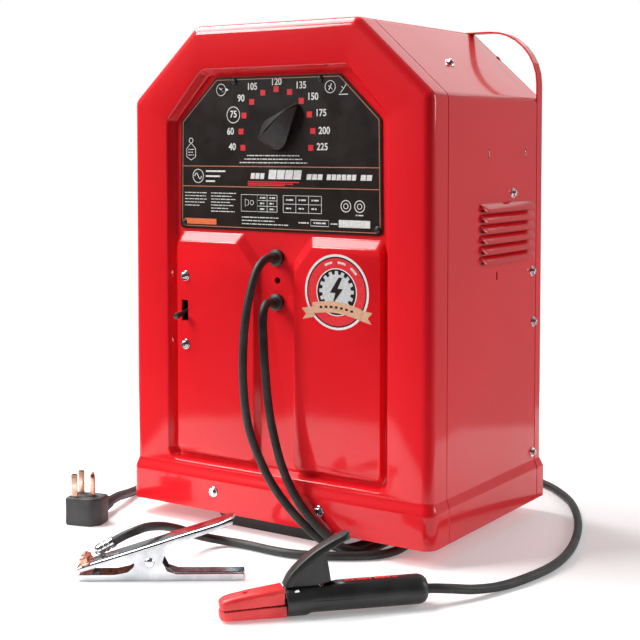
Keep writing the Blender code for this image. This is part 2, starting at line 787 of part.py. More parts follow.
def strain_relief(name, z, rubber):
    """Grommet in a front cable hole, tapering out round the lead."""
    floor = FRONT + RECESS_DEPTH
    bm = bmesh.new()
    turn(bm, [(0, RELIEF_FACE), (6.2, RELIEF_FACE), (7.0, floor - 6), (10.2, floor - 4.5),
              (10.2, floor - GAP), (7.0, floor - GAP), (7.0, floor + 14), (5.6, floor + 22),
              (0, floor + 22)], (0, 0, z), sides=20)
    return finish(name, bm, rubber)


def mains_relief(rubber):
    start = REAR + GAP
    bm = bmesh.new()
    turn(bm, [(0, REAR - 16), (9.5, REAR - 16), (10.5, REAR - 6), (10.5, start), (15, start),
              (15, REAR + 5), (9.5, REAR + 8), (7.2, REAR + 34), (0, REAR + 34)],
         (MAINS_EXIT[0], 0, MAINS_EXIT[1]), sides=20)
    return finish("mains_strain_relief", bm, rubber)


def plug(rubber, brass):
    bm = bmesh.new()
    low = fillet([(-22, -17), (14, -17), (23, -6), (23, 17), (-22, 17)], 4, 2)
    high = [(x * 0.94, y * 0.94) for x, y in low]
    rings = [loop(bm, [(x, y, z) for x, y in outline])
             for outline, z in ((high, 0.0), (low, 2.5), (low, 31.0), (high, 34.0))]
    for a, b in zip(rings, rings[1:]):
        bridge(bm, a, b)
    fill(bm, [rings[0]])
    fill(bm, [rings[-1]])
    body = finish("plug_body", bm, rubber)
    boolean(body, "neck", plug_neck, "UNION")
    boolean(body, "sockets", plug_sockets)
    blades = []
    for name, y in (("plug_blade_near", -9.5), ("plug_blade_far", 9.5)):
        bm = bmesh.new()
        box(bm, (-16, y - 1.0, 24.3), (-8, y + 1.0, 63))
        blade = finish(name, bm, brass, smooth=False)
        soften = blade.modifiers.new("soften", "BEVEL")
        soften.width = 0.5 * MM
        soften.segments = 1
        blades.append(blade)
    bm = bmesh.new()
    rod(bm, 3.2, (8, 0, 0), 24.3, 65, "Z", 16, 1.2)
    pin = finish("plug_ground_pin", bm, brass)
    set_down([body, *blades, pin], PLUG_PLACE)
    shift = bpy.data.objects["plug_body_neck"], bpy.data.objects["plug_body_sockets"]
    set_down(shift, PLUG_PLACE)


def plug_neck(bm):
    turn(bm, [(0, 10), (10.5, 12), (10.5, 24), (8.2, 54), (0, 54)], (4, 0, 13), sides=16)


def plug_sockets(bm):
    for y in (-9.5, 9.5):
        box(bm, (-16.4, y - 1.4, 24), (-7.6, y + 1.4, 40))
    rod(bm, 3.6, (8, 0, 0), 24, 40, "Z", 16)


# ---------------------------------------------------------------- electrode holder


def holder_handle(black):
    """Round insulated handle, hollow at the front for the lever's web and spring."""
    bm = bmesh.new()
    start = JAW_LENGTH + 1.0
    turn(bm, [(0, start + 1), (HANDLE_RADIUS, start + 1), (HANDLE_RADIUS, HANDLE_END - 9),
              (HANDLE_RADIUS - 2.5, HANDLE_END - 3), (HANDLE_RADIUS - 7, HANDLE_END),
              (0, HANDLE_END)], (0, 0, HANDLE_AXIS_Z), "X", 20)
    handle = finish("holder_handle", bm, black)
    boolean(handle, "collar", lambda m: rod(m, 15.6, (0, 0, 15.7), start, start + 24, "X", 20, 0.8),
            "UNION")

    boolean(handle, "hollow", lambda m: box(m, (start - 2, -6.5, 15), (start + 52, 6.5, 50)))
    boolean(handle, "bore", lambda m: rod(m, 3.1, HOLDER_PIVOT, -12, 12, "Y", 12))
    return handle


def jaw_block(name, low_tip, high_tip, low_root, high_root, length, red):
    bm = bmesh.new()
    rings = []
    for x, half, low, high in ((0.0, 7.5, low_tip + 1.5, high_tip - 1.5), (4.0, 10.5, low_tip, high_tip),
                               (length, 12.5, low_root, high_root)):
        outline = fillet([(-half, low), (half, low), (half, high), (-half, high)], 2.0, 2)
        rings.append(loop(bm, [(x, y, z) for y, z in outline]))
    for a, b in zip(rings, rings[1:]):
        bridge(bm, a, b)
    fill(bm, [rings[0]])
    fill(bm, [rings[-1]])
    return finish(name, bm, red)


def holder_lever(black):
    """Arched squeeze lever with the web that reaches the pivot pin."""
    bm = bmesh.new()
    arch = [(64, 31.6), (70, 43), (82, 55), (98, 66.5), (115, 75.5), (130, 82)]
    under = [(132, 76.5), (117, 69), (101, 60), (87, 49.5), (78, 39), (73, 32.4)]
    rings = []
    for (x1, z1), (x0, z0) in zip(arch, reversed(under)):
        half = 9.5
        rings.append(loop(bm, [(x0, -half, z0), (x1, -half + 2, z1), (x1, half - 2, z1),
                               (x0, half, z0)]))
    for a, b in zip(rings, rings[1:]):
        bridge(bm, a, b)
    fill(bm, [rings[0]])
    fill(bm, [rings[-1]])
    lever = finish("holder_lever", bm, black)

    def web(m):
        outline = [(66, 23), (74, 22), (84, 27), (112, 33.5), (106, 61.5), (86, 51), (74, 36),
                   (66, 33)]
        extrude_xz(m, outline, -5, 5)

    boolean(lever, "web", web, "UNION")
    boolean(lever, "bore", lambda m: rod(m, 3.3, HOLDER_PIVOT, -9, 9, "Y", 12))
    return lever


def holder_pin(steel):
    bm = bmesh.new()
    rod(bm, 2.8, HOLDER_PIVOT, -11, 11, "Y", 12, 0.4)
    return finish("holder_pivot_pin", bm, steel)


def holder_spring(steel):
    """Compression spring under the lever's web."""
    bm = bmesh.new()
    turn(bm, [(3.4, 15.4), (5, 15.4), (5, 29.2), (3.4, 29.2)], (100, 0, 0), "Z", 16)
    return finish("holder_spring", bm, steel)


def electrode_holder(black, red, steel):
    handle = holder_handle(black)
    lower = jaw_block("holder_lower_jaw", 2.0, 12.0, 2.0, 14.5, JAW_LENGTH, red)
    upper = jaw_block("holder_upper_jaw", 13.0, 22.0, 15.6, 31.0, JAW_LENGTH - 1.5, red)
    lever = holder_lever(black)
    pin = holder_pin(steel)
    spring = holder_spring(steel)
    cutters = [thing for thing in bpy.data.objects if thing.name.startswith("holder_")]
    set_down(cutters, HOLDER_PLACE)
    return handle, lower, upper, lever, pin, spring


# ---------------------------------------------------------------- work clamp


def clamp_arm(name, outline, inside, half, look):
    """A stamped channel: its side profile extruded across, with the inside cut away."""
    bm = bmesh.new()
    extrude_xz(bm, outline, -half, half)
    arm = finish(name, bm, look, smooth=False)

    def hollow(m):
        extrude_xz(m, inside, -half + 1.6, half - 1.6)

    boolean(arm, "channel", hollow)
    boolean(arm, "bore", lambda m: rod(m, 3.9, (CLAMP_PIVOT[0], 0, CLAMP_PIVOT[1]), -20, 20, "Y", 16))
    return arm


def clamp_lower_arm(steel):
    outline = [(0, 0.6), (4, 0), (178, 0), (178, 7.5), (106, 7.5), (96, 11), (91, 20), (89, 30),
               (84, 33), (70, 33), (64, 30), (61, 17), (54, 10), (40, 7.1), (0, 7.1)]
    inside = [(-3, 1.7), (182, 1.7), (182, 60), (-3, 60)]
    return clamp_arm("clamp_lower_arm", outline, inside, 13.0, steel)


def clamp_upper_arm(steel):
    outline = [(-1, 15), (88, 43), (167, 69), (167, 61.5), (96, 38), (91, 30), (90, 12), (66, 12),
               (60, 22), (50, 26), (36, 21), (0, 9)]
    inside = [(-4, 12.2), (88.3, 41.2), (171, 68.4), (171, -5), (-4, -5)]
    return clamp_arm("clamp_upper_arm", outline, inside, 15.1, steel)


def clamp_rivet(steel):
    bm = bmesh.new()
    turn(bm, [(0, -17.6), (4, -17.2), (5.4, -15.6), (3.5, -15.5), (3.5, 15.5), (5.4, 15.6), (4, 17.2),
              (0, 17.6)], (CLAMP_PIVOT[0], 0, CLAMP_PIVOT[1]), "Y", 16)
    return finish("clamp_pivot_rivet", bm, steel)


def clamp_spring(steel):
    bm = bmesh.new()
    turn(bm, [(4.2, -9), (6.6, -9), (6.6, 9), (4.2, 9)], (CLAMP_PIVOT[0], 0, CLAMP_PIVOT[1]), "Y", 16)
    return finish("clamp_spring", bm, steel)


def clamp_braid(copper):
    """Flat copper braid along the lower jaw."""
    spine = [(22, 3.2), (36, 3.4), (50, 4.4), (58, 7.5), (63, 13.0), (66, 19.0)]
    bm = bmesh.new()
    rings = []
    for i, (x, z) in enumerate(spine):
        ahead = Vector(spine[min(i + 1, len(spine) - 1)]) - Vector(spine[max(i - 1, 0)])
        up = Vector((-ahead.y, ahead.x)).normalized() * 1.3
        rings.append(loop(bm, [(x - up.x, -7, z - up.y), (x - up.x, 7, z - up.y),
                               (x + up.x, 7, z + up.y), (x + up.x, -7, z + up.y)]))
    for a, b in zip(rings, rings[1:]):
        bridge(bm, a, b)
    fill(bm, [rings[0]])
    fill(bm, [rings[-1]])
    return finish("clamp_braid", bm, copper)


def clamp_bolt(name, x, y, copper):
    """Hex bolt through the upper jaw with a washer under its head."""
    tilt = Matrix.Translation((x, y, 15 + (x + 1) * 0.3146 + GAP)) @ Matrix.Rotation(-0.305, 4, "Y")
    bm = bmesh.new()
    turn(bm, [(0, 0), (7, 0), (7, 1.4), (5.4, 1.4), (5.4, 7.6), (4.6, 8.4), (0, 8.4)], (0, 0, 0),
         "Z", 12)
    bm.transform(tilt)
    return finish(name, bm, copper, smooth=False)


def clamp_lug(steel):
    """Crimp barrel that rises from the bolts to the work lead."""
    start, end = Vector((16.5, 7.5, 26.5)), Vector((37.0, 7.5, 38.0))
    along = (end - start).normalized()
    turn_to = along.to_track_quat("Z", "Y").to_matrix().to_4x4()
    length = (end - start).length
    bm = bmesh.new()
    turn(bm, [(0, 0), (4.2, 0), (6.3, 4), (6.3, length), (0, length)], (0, 0, 0), "Z", 14)
    bm.transform(Matrix.Translation(start) @ turn_to)
    return finish("work_lug", bm, steel)


def work_clamp(steel, copper):
    clamp_lower_arm(steel)
    clamp_upper_arm(steel)
    clamp_rivet(steel)
    clamp_spring(steel)
    clamp_braid(copper)
    clamp_bolt("clamp_bolt_near", 8.0, -7.5, copper)
    clamp_bolt("clamp_bolt_far", 8.0, 7.5, copper)
    clamp_lug(steel)
    pieces = [thing for thing in bpy.data.objects
              if thing.name.startswith("clamp_") or thing.name == "work_lug"]
    set_down(pieces, CLAMP_PLACE)


# ---------------------------------------------------------------- assembly


def cabinet():
    red = material("red_enamel", (0.62, 0.02, 0.03), 0.22)
    dark = material("black_enamel", (0.02, 0.02, 0.02), 0.4)
    front_panel(red)
    case_wrap(red)
    rear_panel(red)
    base_pan(red)
    foot_rail("foot_rail_front", FRONT + 32, dark)
    foot_rail("foot_rail_rear", REAR - 32, dark)


def controls():
    black = material("black_plastic", (0.02, 0.02, 0.02), 0.45)
    plate = material("plate_black", (0.015, 0.015, 0.015), 0.3)
    steel = material("zinc_steel", (0.6, 0.6, 0.6), 0.3, 1.0)
    copper = material("copper", (0.7, 0.35, 0.2), 0.35, 1.0)
    brown = material("phenolic", (0.12, 0.06, 0.03), 0.5)
    nameplate(plate)
    for number, (x, z) in enumerate(rivet_places(), 1):
        nameplate_rivet(number, x, z, black)
    selector_knob(black)
    selector_shaft(steel)
    selector_deck(brown)
    selector_contact_arm(copper)
    power_switch_body(black)
    power_switch_lever(black)


def inside():
    iron = material("core_iron", (0.12, 0.12, 0.13), 0.5, 0.8)
    enamel = material("winding_wire", (0.45, 0.2, 0.08), 0.4, 0.3)
    aluminium = material("winding_aluminium", (0.55, 0.54, 0.52), 0.4, 0.8)
    steel = material("bracket_steel", (0.5, 0.5, 0.5), 0.4, 1.0)
    black = material("motor_black", (0.03, 0.03, 0.03), 0.5)
    grey = material("fan_grey", (0.3, 0.3, 0.3), 0.5)
    transformer_core(iron)
    winding("primary_winding", 52, 116, enamel)
    winding("secondary_winding", 120, 190, aluminium)
    core_clamp("core_clamp_front", -42.4, -1, steel)
    core_clamp("core_clamp_rear", 48.4, 1, steel)
    fan_bracket(steel)
    fan_motor(black)
    fan_blade(grey)


def leads():
    rubber = material("black_rubber", (0.02, 0.02, 0.02), 0.6)
    brass = material("brass", (0.75, 0.5, 0.35), 0.35, 1.0)
    strain_relief("electrode_strain_relief", CABLE_HOLE_Z[0], rubber)
    strain_relief("work_strain_relief", CABLE_HOLE_Z[1], rubber)
    mains_relief(rubber)
    tube("electrode_lead_front", ELECTRODE_ROUTE_A, LEAD_RADIUS, rubber)
    coil("electrode_lead_coil", ELECTRODE_COIL, LEAD_COIL_RADIUS, LEAD_RADIUS, rubber)
    tube("electrode_lead_end", ELECTRODE_ROUTE_B, LEAD_RADIUS, rubber)
    tube("work_lead_front", WORK_ROUTE_A, LEAD_RADIUS, rubber)
    coil("work_lead_coil", WORK_COIL, LEAD_COIL_RADIUS, LEAD_RADIUS, rubber)
    tube("work_lead_end", WORK_ROUTE_B, LEAD_RADIUS, rubber)
    tube("mains_cord_exit", MAINS_ROUTE_A, MAINS_RADIUS, rubber)
    coil("mains_cord_coil", MAINS_COIL, MAINS_COIL_RADIUS, MAINS_RADIUS, rubber)
    tube("mains_cord_end", MAINS_ROUTE_B, MAINS_RADIUS, rubber)
    plug(rubber, brass)


def tools():
    black = material("holder_black", (0.02, 0.02, 0.02), 0.5)
    red = material("holder_red", (0.75, 0.03, 0.03), 0.4)
    steel = material("clamp_zinc", (0.7, 0.7, 0.7), 0.25, 1.0)
    copper = material("clamp_copper", (0.75, 0.4, 0.25), 0.35, 1.0)
    electrode_holder(black, red, steel)
    work_clamp(steel, copper)


def main():
    clear_scene()
    cabinet()
    controls()
    inside()
    leads()
    tools()


main()
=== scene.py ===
import math

import bmesh
import bpy
from mathutils import Matrix, Vector
from mathutils.geometry import tessellate_polygon


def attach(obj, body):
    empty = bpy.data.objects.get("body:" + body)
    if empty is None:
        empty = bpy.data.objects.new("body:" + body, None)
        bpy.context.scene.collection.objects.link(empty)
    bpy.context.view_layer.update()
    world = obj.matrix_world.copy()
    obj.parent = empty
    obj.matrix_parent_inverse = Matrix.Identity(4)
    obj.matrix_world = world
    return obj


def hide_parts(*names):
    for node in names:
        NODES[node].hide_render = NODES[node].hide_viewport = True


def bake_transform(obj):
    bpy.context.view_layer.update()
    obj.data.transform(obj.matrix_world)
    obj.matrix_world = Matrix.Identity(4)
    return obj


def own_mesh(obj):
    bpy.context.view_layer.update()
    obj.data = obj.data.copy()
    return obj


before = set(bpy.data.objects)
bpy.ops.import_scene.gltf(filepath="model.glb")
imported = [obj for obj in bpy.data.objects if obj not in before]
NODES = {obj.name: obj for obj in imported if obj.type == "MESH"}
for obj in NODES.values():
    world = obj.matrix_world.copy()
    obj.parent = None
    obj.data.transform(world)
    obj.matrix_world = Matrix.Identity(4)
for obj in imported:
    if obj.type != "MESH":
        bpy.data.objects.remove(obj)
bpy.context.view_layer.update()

MM = 0.001

# ------------------------------------------------------------------ cabinet sizes, as in the CAD (mm)
FRONT, REAR = -137.0, 149.0
HALF_WIDTH, TOP, FLARE = 214.5, 612.0, 4.0
CHAMFER_X, SHOULDER = 98.0, 523.0
DIAL_Z = 481.0
DIAL_STEP = math.radians(21.8)
HOLDER = (120.0, -392.0, math.atan2(155.0, 145.0))
CLAMP = (-87.0, -372.0, math.atan2(101.0, 146.0))
PLUG = (-228.0, -212.0, math.radians(17.2))


# ------------------------------------------------------------------ materials
class Nodes:
    """A material's node tree with short calls for its procedural parts."""

    def __init__(self, name, colour, rough, metal=0.0, coat=0.0, coat_rough=0.05):
        self.mat = bpy.data.materials.new(name)
        self.mat.use_nodes = True
        self.tree = self.mat.node_tree
        self.shader = self.tree.nodes["Principled BSDF"]
        self.shader.inputs["Base Color"].default_value = (*colour, 1)
        self.shader.inputs["Roughness"].default_value = rough
        self.shader.inputs["Metallic"].default_value = metal
        self.shader.inputs["Coat Weight"].default_value = coat
        self.shader.inputs["Coat Roughness"].default_value = coat_rough
        self.coords = self.tree.nodes.new("ShaderNodeTexCoord")

    def noise(self, scale, detail=3.0, stretch=None):
        node = self.tree.nodes.new("ShaderNodeTexNoise")
        node.inputs["Scale"].default_value = scale
        node.inputs["Detail"].default_value = detail
        self.link(self.mapped(stretch), node.inputs["Vector"])
        return node.outputs["Fac"]

    def mapped(self, stretch):
        if stretch is None:
            return self.coords.outputs["Object"]
        node = self.tree.nodes.new("ShaderNodeMapping")
        node.inputs["Scale"].default_value = stretch
        self.link(self.coords.outputs["Object"], node.inputs["Vector"])
        return node.outputs["Vector"]

    def waves(self, scale, stretch=None, direction="X", distortion=0.0):
        node = self.tree.nodes.new("ShaderNodeTexWave")
        node.bands_direction = direction
        node.inputs["Scale"].default_value = scale
        node.inputs["Distortion"].default_value = distortion
        self.link(self.mapped(stretch), node.inputs["Vector"])
        return node.outputs["Fac"]

    def link(self, a, b):
        self.tree.links.new(a, b)

    def ramp(self, fac, stops):
        node = self.tree.nodes.new("ShaderNodeValToRGB")
        ramp = node.color_ramp
        while len(ramp.elements) < len(stops):
            ramp.elements.new(0.5)
        for element, (place, colour) in zip(ramp.elements, stops):
            element.position = place
            element.color = (*colour, 1)
        self.link(fac, node.inputs["Fac"])
        return node.outputs["Color"]

    def colour(self, fac, dark, light, low=0.35, high=0.65):
        self.link(self.ramp(fac, [(low, dark), (high, light)]), self.shader.inputs["Base Color"])
        return self

    def rough(self, fac, low, high):
        node = self.tree.nodes.new("ShaderNodeMapRange")
        node.inputs["From Min"].default_value = 0.3
        node.inputs["From Max"].default_value = 0.7
        node.inputs["To Min"].default_value = low
        node.inputs["To Max"].default_value = high
        self.link(fac, node.inputs["Value"])
        self.link(node.outputs["Result"], self.shader.inputs["Roughness"])
        return self

    def bump(self, fac, strength, distance, coat=False):
        node = self.tree.nodes.new("ShaderNodeBump")
        node.inputs["Strength"].default_value = strength
        node.inputs["Distance"].default_value = distance
        self.link(fac, node.inputs["Height"])
        self.link(node.outputs["Normal"], self.shader.inputs["Normal"])
        if coat:
            self.link(node.outputs["Normal"], self.shader.inputs["Coat Normal"])
        return self


def shades(colour, low, high):
    return tuple(c * low for c in colour), tuple(min(1, c * high) for c in colour)


# key: name, colour, roughness, metallic, (coat, its roughness), (pattern scale, detail), dark, light,
# (roughness pattern's scale, detail, low, high), (bump's scale, detail, strength, distance)
NO_COAT = (0.0, 0.05)
LOOKS = {
    "red": ("red_enamel", (0.80, 0.008, 0.016), 0.5, 0, (0.8, 0.09), (2.5, 3),
            (0.74, 0.0035, 0.010), (0.82, 0.006, 0.015), (9, 3, 0.46, 0.54), (26, 2, 0.05, 0.0006)),
    # painted shade: the red enamel darkened to stand for its shadowed inner faces
    "red_painted_shade": ("red_shade", (0.3, 0.004, 0.006), 0.4, 0, NO_COAT, (8, 3),
                  (0.24, 0.003, 0.004), (0.34, 0.004, 0.007), None, None),
    "plate": ("plate_black", (0.016, 0.011, 0.009), 0.36, 0, (0.1, 0.2), (14, 3),
              (0.012, 0.008, 0.007), (0.020, 0.014, 0.012), (60, 3, 0.28, 0.40), (900, 2, 0.05, 0.0001)),
    "black": ("black_plastic", (0.018, 0.018, 0.018), 0.4, 0, NO_COAT, (40, 3),
              (0.013, 0.013, 0.013), (0.024, 0.024, 0.023), (120, 3, 0.34, 0.46), (1400, 2, 0.10, 0.0002)),
    "knob": ("knob_black", (0.02, 0.02, 0.02), 0.35, 0, NO_COAT, (60, 3),
             (0.010, 0.010, 0.010), (0.018, 0.018, 0.018), (200, 3, 0.30, 0.42), (1500, 2, 0.08, 0.0002)),
    "rubber": ("rubber", (0.022, 0.022, 0.022), 0.5, 0, NO_COAT, (55, 3),
               (0.014, 0.014, 0.014), (0.032, 0.032, 0.031), (35, 3, 0.42, 0.58), (1100, 3, 0.16, 0.0003)),
    "plug": ("plug_rubber", (0.04, 0.04, 0.04), 0.55, 0, NO_COAT, (45, 3),
             (0.030, 0.030, 0.030), (0.050, 0.050, 0.050), (50, 3, 0.48, 0.60), (1600, 3, 0.14, 0.0002)),
    "zinc": ("zinc", (0.72, 0.74, 0.76), 0.24, 1, NO_COAT, (60, 4),
             (0.58, 0.60, 0.63), (0.82, 0.83, 0.84), (110, 3, 0.16, 0.30), (260, 3, 0.05, 0.0003)),
    "clamp": ("clamp_zinc", (0.62, 0.64, 0.66), 0.20, 1, NO_COAT, (35, 4),
              (0.48, 0.50, 0.53), (0.70, 0.71, 0.72), (90, 3, 0.12, 0.26), (160, 3, 0.08, 0.0005)),
    "copper": ("copper", (0.78, 0.42, 0.30), 0.3, 1, NO_COAT, (140, 4),
               (0.55, 0.24, 0.16), (0.88, 0.56, 0.44), (220, 3, 0.22, 0.42), (500, 3, 0.12, 0.0003)),
    "brass": ("brass", (0.80, 0.50, 0.36), 0.3, 1, NO_COAT, (90, 4),
              (0.60, 0.32, 0.22), (0.90, 0.66, 0.52), (160, 3, 0.2, 0.4), (400, 3, 0.10, 0.0003)),
    "holder_red": ("holder_red", (0.86, 0.03, 0.035), 0.42, 0, (0.1, 0.2), (30, 3),
                   (0.80, 0.022, 0.028), (0.92, 0.045, 0.045), (80, 3, 0.36, 0.48), (900, 3, 0.12, 0.0003)),
    "tooth": ("tooth_dark", (0.05, 0.01, 0.01), 0.6, 0, NO_COAT, (500, 3),
              (0.02, 0.004, 0.004), (0.10, 0.02, 0.018), None, (700, 3, 0.5, 0.0006)),
    "phenolic": ("phenolic", (0.12, 0.06, 0.03), 0.5, 0, NO_COAT, (120, 5),
                 (0.07, 0.03, 0.015), (0.17, 0.09, 0.045), None, (500, 3, 0.15, 0.0003)),
    "fan": ("fan_grey", (0.25, 0.25, 0.25), 0.5, 0, NO_COAT, (40, 3),
            (0.20, 0.20, 0.20), (0.29, 0.29, 0.28), None, (900, 3, 0.1, 0.0002)),
    "foot": ("foot_black", (0.012, 0.012, 0.012), 0.45, 0, NO_COAT, (25, 3),
             (0.008, 0.008, 0.008), (0.02, 0.019, 0.018), None, (300, 3, 0.08, 0.0003)),
}
INKS = {"ink_white": (0.80, 0.80, 0.78), "ink_red": (0.78, 0.02, 0.03), "ink_gold": (0.50, 0.20, 0.11),
        "ink_orange": (0.80, 0.18, 0.06), "ink_silver": (0.62, 0.63, 0.64), "ink_tan": (0.72, 0.42, 0.27)}
# key: colour, roughness, metallic, layer scale and direction, dark, light, bump strength and distance
LAYERED = {
    "laminations": ((0.12, 0.12, 0.13), 0.45, 0.8, 260, "Y", (0.05, 0.05, 0.055), (0.20, 0.20, 0.21),
                    0.5, 0.0005),
    "winding_copper": ((0.45, 0.2, 0.08), 0.35, 0.5, 160, "Z", (0.20, 0.07, 0.02), (0.52, 0.24, 0.10),
                       0.9, 0.001),
    "winding_aluminium": ((0.5, 0.49, 0.47), 0.35, 0.8, 110, "Z", (0.26, 0.25, 0.23), (0.60, 0.58, 0.55),
                          0.9, 0.001),
}
SHEEN = {"red": 0.15, "plate": 0.3}


def make_materials():
    m = {}
    for key, (name, colour, rough, metal, coat, pattern, dark, light, matt, grain) in LOOKS.items():
        n = Nodes(name, colour, rough, metal, *coat)
        if key in SHEEN:
            n.shader.inputs["Specular IOR Level"].default_value = SHEEN[key]
        n.colour(n.noise(*pattern), dark, light)
        if matt:
            n.rough(n.noise(*matt[:2]), *matt[2:])
        if grain:
            n.bump(n.noise(*grain[:2]), *grain[2:], coat=key == "red")
        m[key] = n.mat
    for name, colour in INKS.items():
        n = Nodes(name, colour, 0.42)
        n.colour(n.noise(300), *shades(colour, 0.86, 1.05))
        n.bump(n.noise(900, 2), 0.04, 0.0001)
        m[name] = n.mat
    for name, (colour, rough, metal, scale, way, dark, light, strength, distance) in LAYERED.items():
        n = Nodes(name, colour, rough, metal)
        n.colour(n.waves(scale, None, way), dark, light, 0.2, 0.8)
        n.bump(n.waves(scale, None, way), strength, distance)
        m[name] = n.mat
    n = Nodes("copper_braid", (0.42, 0.13, 0.08), 0.42, 0.9)
    n.colour(n.waves(330, (1, 1, 1), "DIAGONAL", 1.2), (0.10, 0.02, 0.012), (0.62, 0.22, 0.13), 0.3, 0.7)
    n.bump(n.waves(330, (1, -1, 1), "DIAGONAL", 1.0), 0.8, 0.0008)
    m["braid"] = n.mat
    return m


MAT = make_materials()
NODE_LOOKS = {
    "red": "front_panel case_wrap rear_panel base_pan",
    "foot": "foot_rail_front foot_rail_rear",
    "plate": "nameplate",
    "black": "nameplate_rivet_1 nameplate_rivet_2 nameplate_rivet_3 nameplate_rivet_4 power_switch_body "
             "power_switch_lever fan_motor holder_handle holder_lever",
    "knob": "selector_knob",
    "zinc": "selector_shaft fan_bracket core_clamp_front core_clamp_rear holder_pivot_pin holder_spring "
            "clamp_spring clamp_pivot_rivet",
    "phenolic": "selector_deck",
    "copper": "selector_contact_arm clamp_bolt_near clamp_bolt_far",
    "braid": "clamp_braid",
    "laminations": "transformer_core",
    "winding_copper": "primary_winding",
    "winding_aluminium": "secondary_winding",
    "fan": "fan_blade",
    "rubber": "electrode_strain_relief work_strain_relief mains_strain_relief electrode_lead_front "
              "electrode_lead_coil electrode_lead_end work_lead_front work_lead_coil work_lead_end "
              "mains_cord_exit mains_cord_coil mains_cord_end",
    "plug": "plug_body",
    "brass": "plug_blade_near plug_blade_far plug_ground_pin",
    "holder_red": "holder_lower_jaw holder_upper_jaw",
    "clamp": "clamp_lower_arm clamp_upper_arm work_lug",
}
for look, names in NODE_LOOKS.items():
    for node in names.split():
        data = NODES[node].data
        if data.materials:
            for index in range(len(data.materials)):
                data.materials[index] = MAT[look]
        else:
            data.materials.append(MAT[look])


# ------------------------------------------------------------------ mesh helpers (mm)
def on_floor(place):
    """Takes a shape drawn along its own X to its (x, y, yaw) on the floor."""
    return Matrix.Translation((place[0], place[1], 0)) @ Matrix.Rotation(place[2], 4, "Z")


def add(name, bm, look, body, place=None, crease=32.0, slots=()):
    """Makes a piece from a bmesh in millimetres; place is (x, y, yaw) for a piece drawn along its own X."""
    if place is not None:
        bm.transform(on_floor(place))
    bm.transform(Matrix.Scale(MM, 4))
    mesh = bpy.data.meshes.new(name)
    bm.to_mesh(mesh)
    bm.free()
    mesh.shade_smooth()
    mesh.set_sharp_from_angle(angle=math.radians(crease))
    mesh.materials.append(MAT[look])
    for extra in slots:
        mesh.materials.append(MAT[extra])
    piece = bpy.data.objects.new(name, mesh)
    bpy.context.scene.collection.objects.link(piece)
    if body:
        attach(piece, body)
    return piece


def outward(bm):
    bmesh.ops.recalc_face_normals(bm, faces=bm.faces)
    return bm


def fillet(points, radius, steps=5):
    out = []
    count = len(points)
    for i in range(count):
        here = Vector(points[i])
        back = (Vector(points[i - 1]) - here).normalized()
        ahead = (Vector(points[(i + 1) % count]) - here).normalized()
        half = back.angle(ahead) / 2
        r = radius[i] if isinstance(radius, (list, tuple)) else radius
        reach = r / math.tan(half)
        centre = here + (back + ahead).normalized() * (r / math.sin(half))
        start = here + back * reach - centre
        end = here + ahead * reach - centre
        for k in range(steps + 1):
            arm = start.lerp(end, k / steps).normalized() * r
            out.append(tuple(centre + arm))
    return out


def circle(sides):
    return [2 * math.pi * k / sides for k in range(sides)]


def loop(bm, points):
    return [bm.verts.new(p) for p in points]


def bridge(bm, first, second, closed=True):
    count = len(first)
    for i in range(count if closed else count - 1):
        j = (i + 1) % count
        bm.faces.new((first[i], first[j], second[j], second[i]))


def skin(bm, rings, closed=True):
    for a, b in zip(rings, rings[1:]):
        bridge(bm, a, b, closed)


def fill(bm, loops):
    verts = [v for one in loops for v in one]
    for tri in tessellate_polygon([[v.co for v in one] for one in loops]):
        try:
            bm.faces.new([verts[i] for i in tri])
        except ValueError:
            pass


def loft(bm, rings, caps=True):
    made = [loop(bm, ring) for ring in rings]
    skin(bm, made)
    if caps:
        fill(bm, [made[0]])
        fill(bm, [made[-1]])
    return made


def box(bm, low, high):
    corners = [(low[0], low[1]), (high[0], low[1]), (high[0], high[1]), (low[0], high[1])]
    loft(bm, [[(x, y, low[2]) for x, y in corners], [(x, y, high[2]) for x, y in corners]])


def soft_box(bm, low, high, r=0.6):
    """A box with rounded edges, as a stack of inset outlines."""
    x0, y0, z0 = low
    x1, y1, z1 = high
    rings = []
    for k in range(4):
        a = math.radians(30 * k)
        rings.append((r * (1 - math.sin(a)), z0 + r * (1 - math.cos(a))))
    rings += [(inset, z1 - (z - z0)) for inset, z in reversed(rings)]
    stack = []
    for inset, z in rings:
        pts = [(x0 + inset, y0 + inset), (x1 - inset, y0 + inset), (x1 - inset, y1 - inset),
               (x0 + inset, y1 - inset)]
        stack.append([(x, y, z) for x, y in fillet(pts, max(0.05, r - inset * 0.5), 3)])
    loft(bm, stack)


def turn(bm, profile, centre=(0, 0, 0), axis="Z", sides=32, frame_matrix=None):
    rings = []
    for radius, height in profile:
        ring = []
        for k in range(sides if radius > 0 else 1):
            angle = 2 * math.pi * k / sides
            c, s = radius * math.cos(angle), radius * math.sin(angle)
            local = Vector({"X": (height, c, s), "Y": (c, height, s), "Z": (c, s, height)}[axis])
            point = Vector(centre) + local
            ring.append(bm.verts.new(frame_matrix @ point if frame_matrix else point))
        rings.append(ring)
    closed = profile[0][0] > 0
    pairs = list(zip(rings, rings[1:])) + ([(rings[-1], rings[0])] if closed else [])
    for a, b in pairs:
        for k in range(sides):
            j = (k + 1) % sides
            face = list(dict.fromkeys([a[k % len(a)], a[j % len(a)], b[j % len(b)], b[k % len(b)]]))
            bm.faces.new(face)


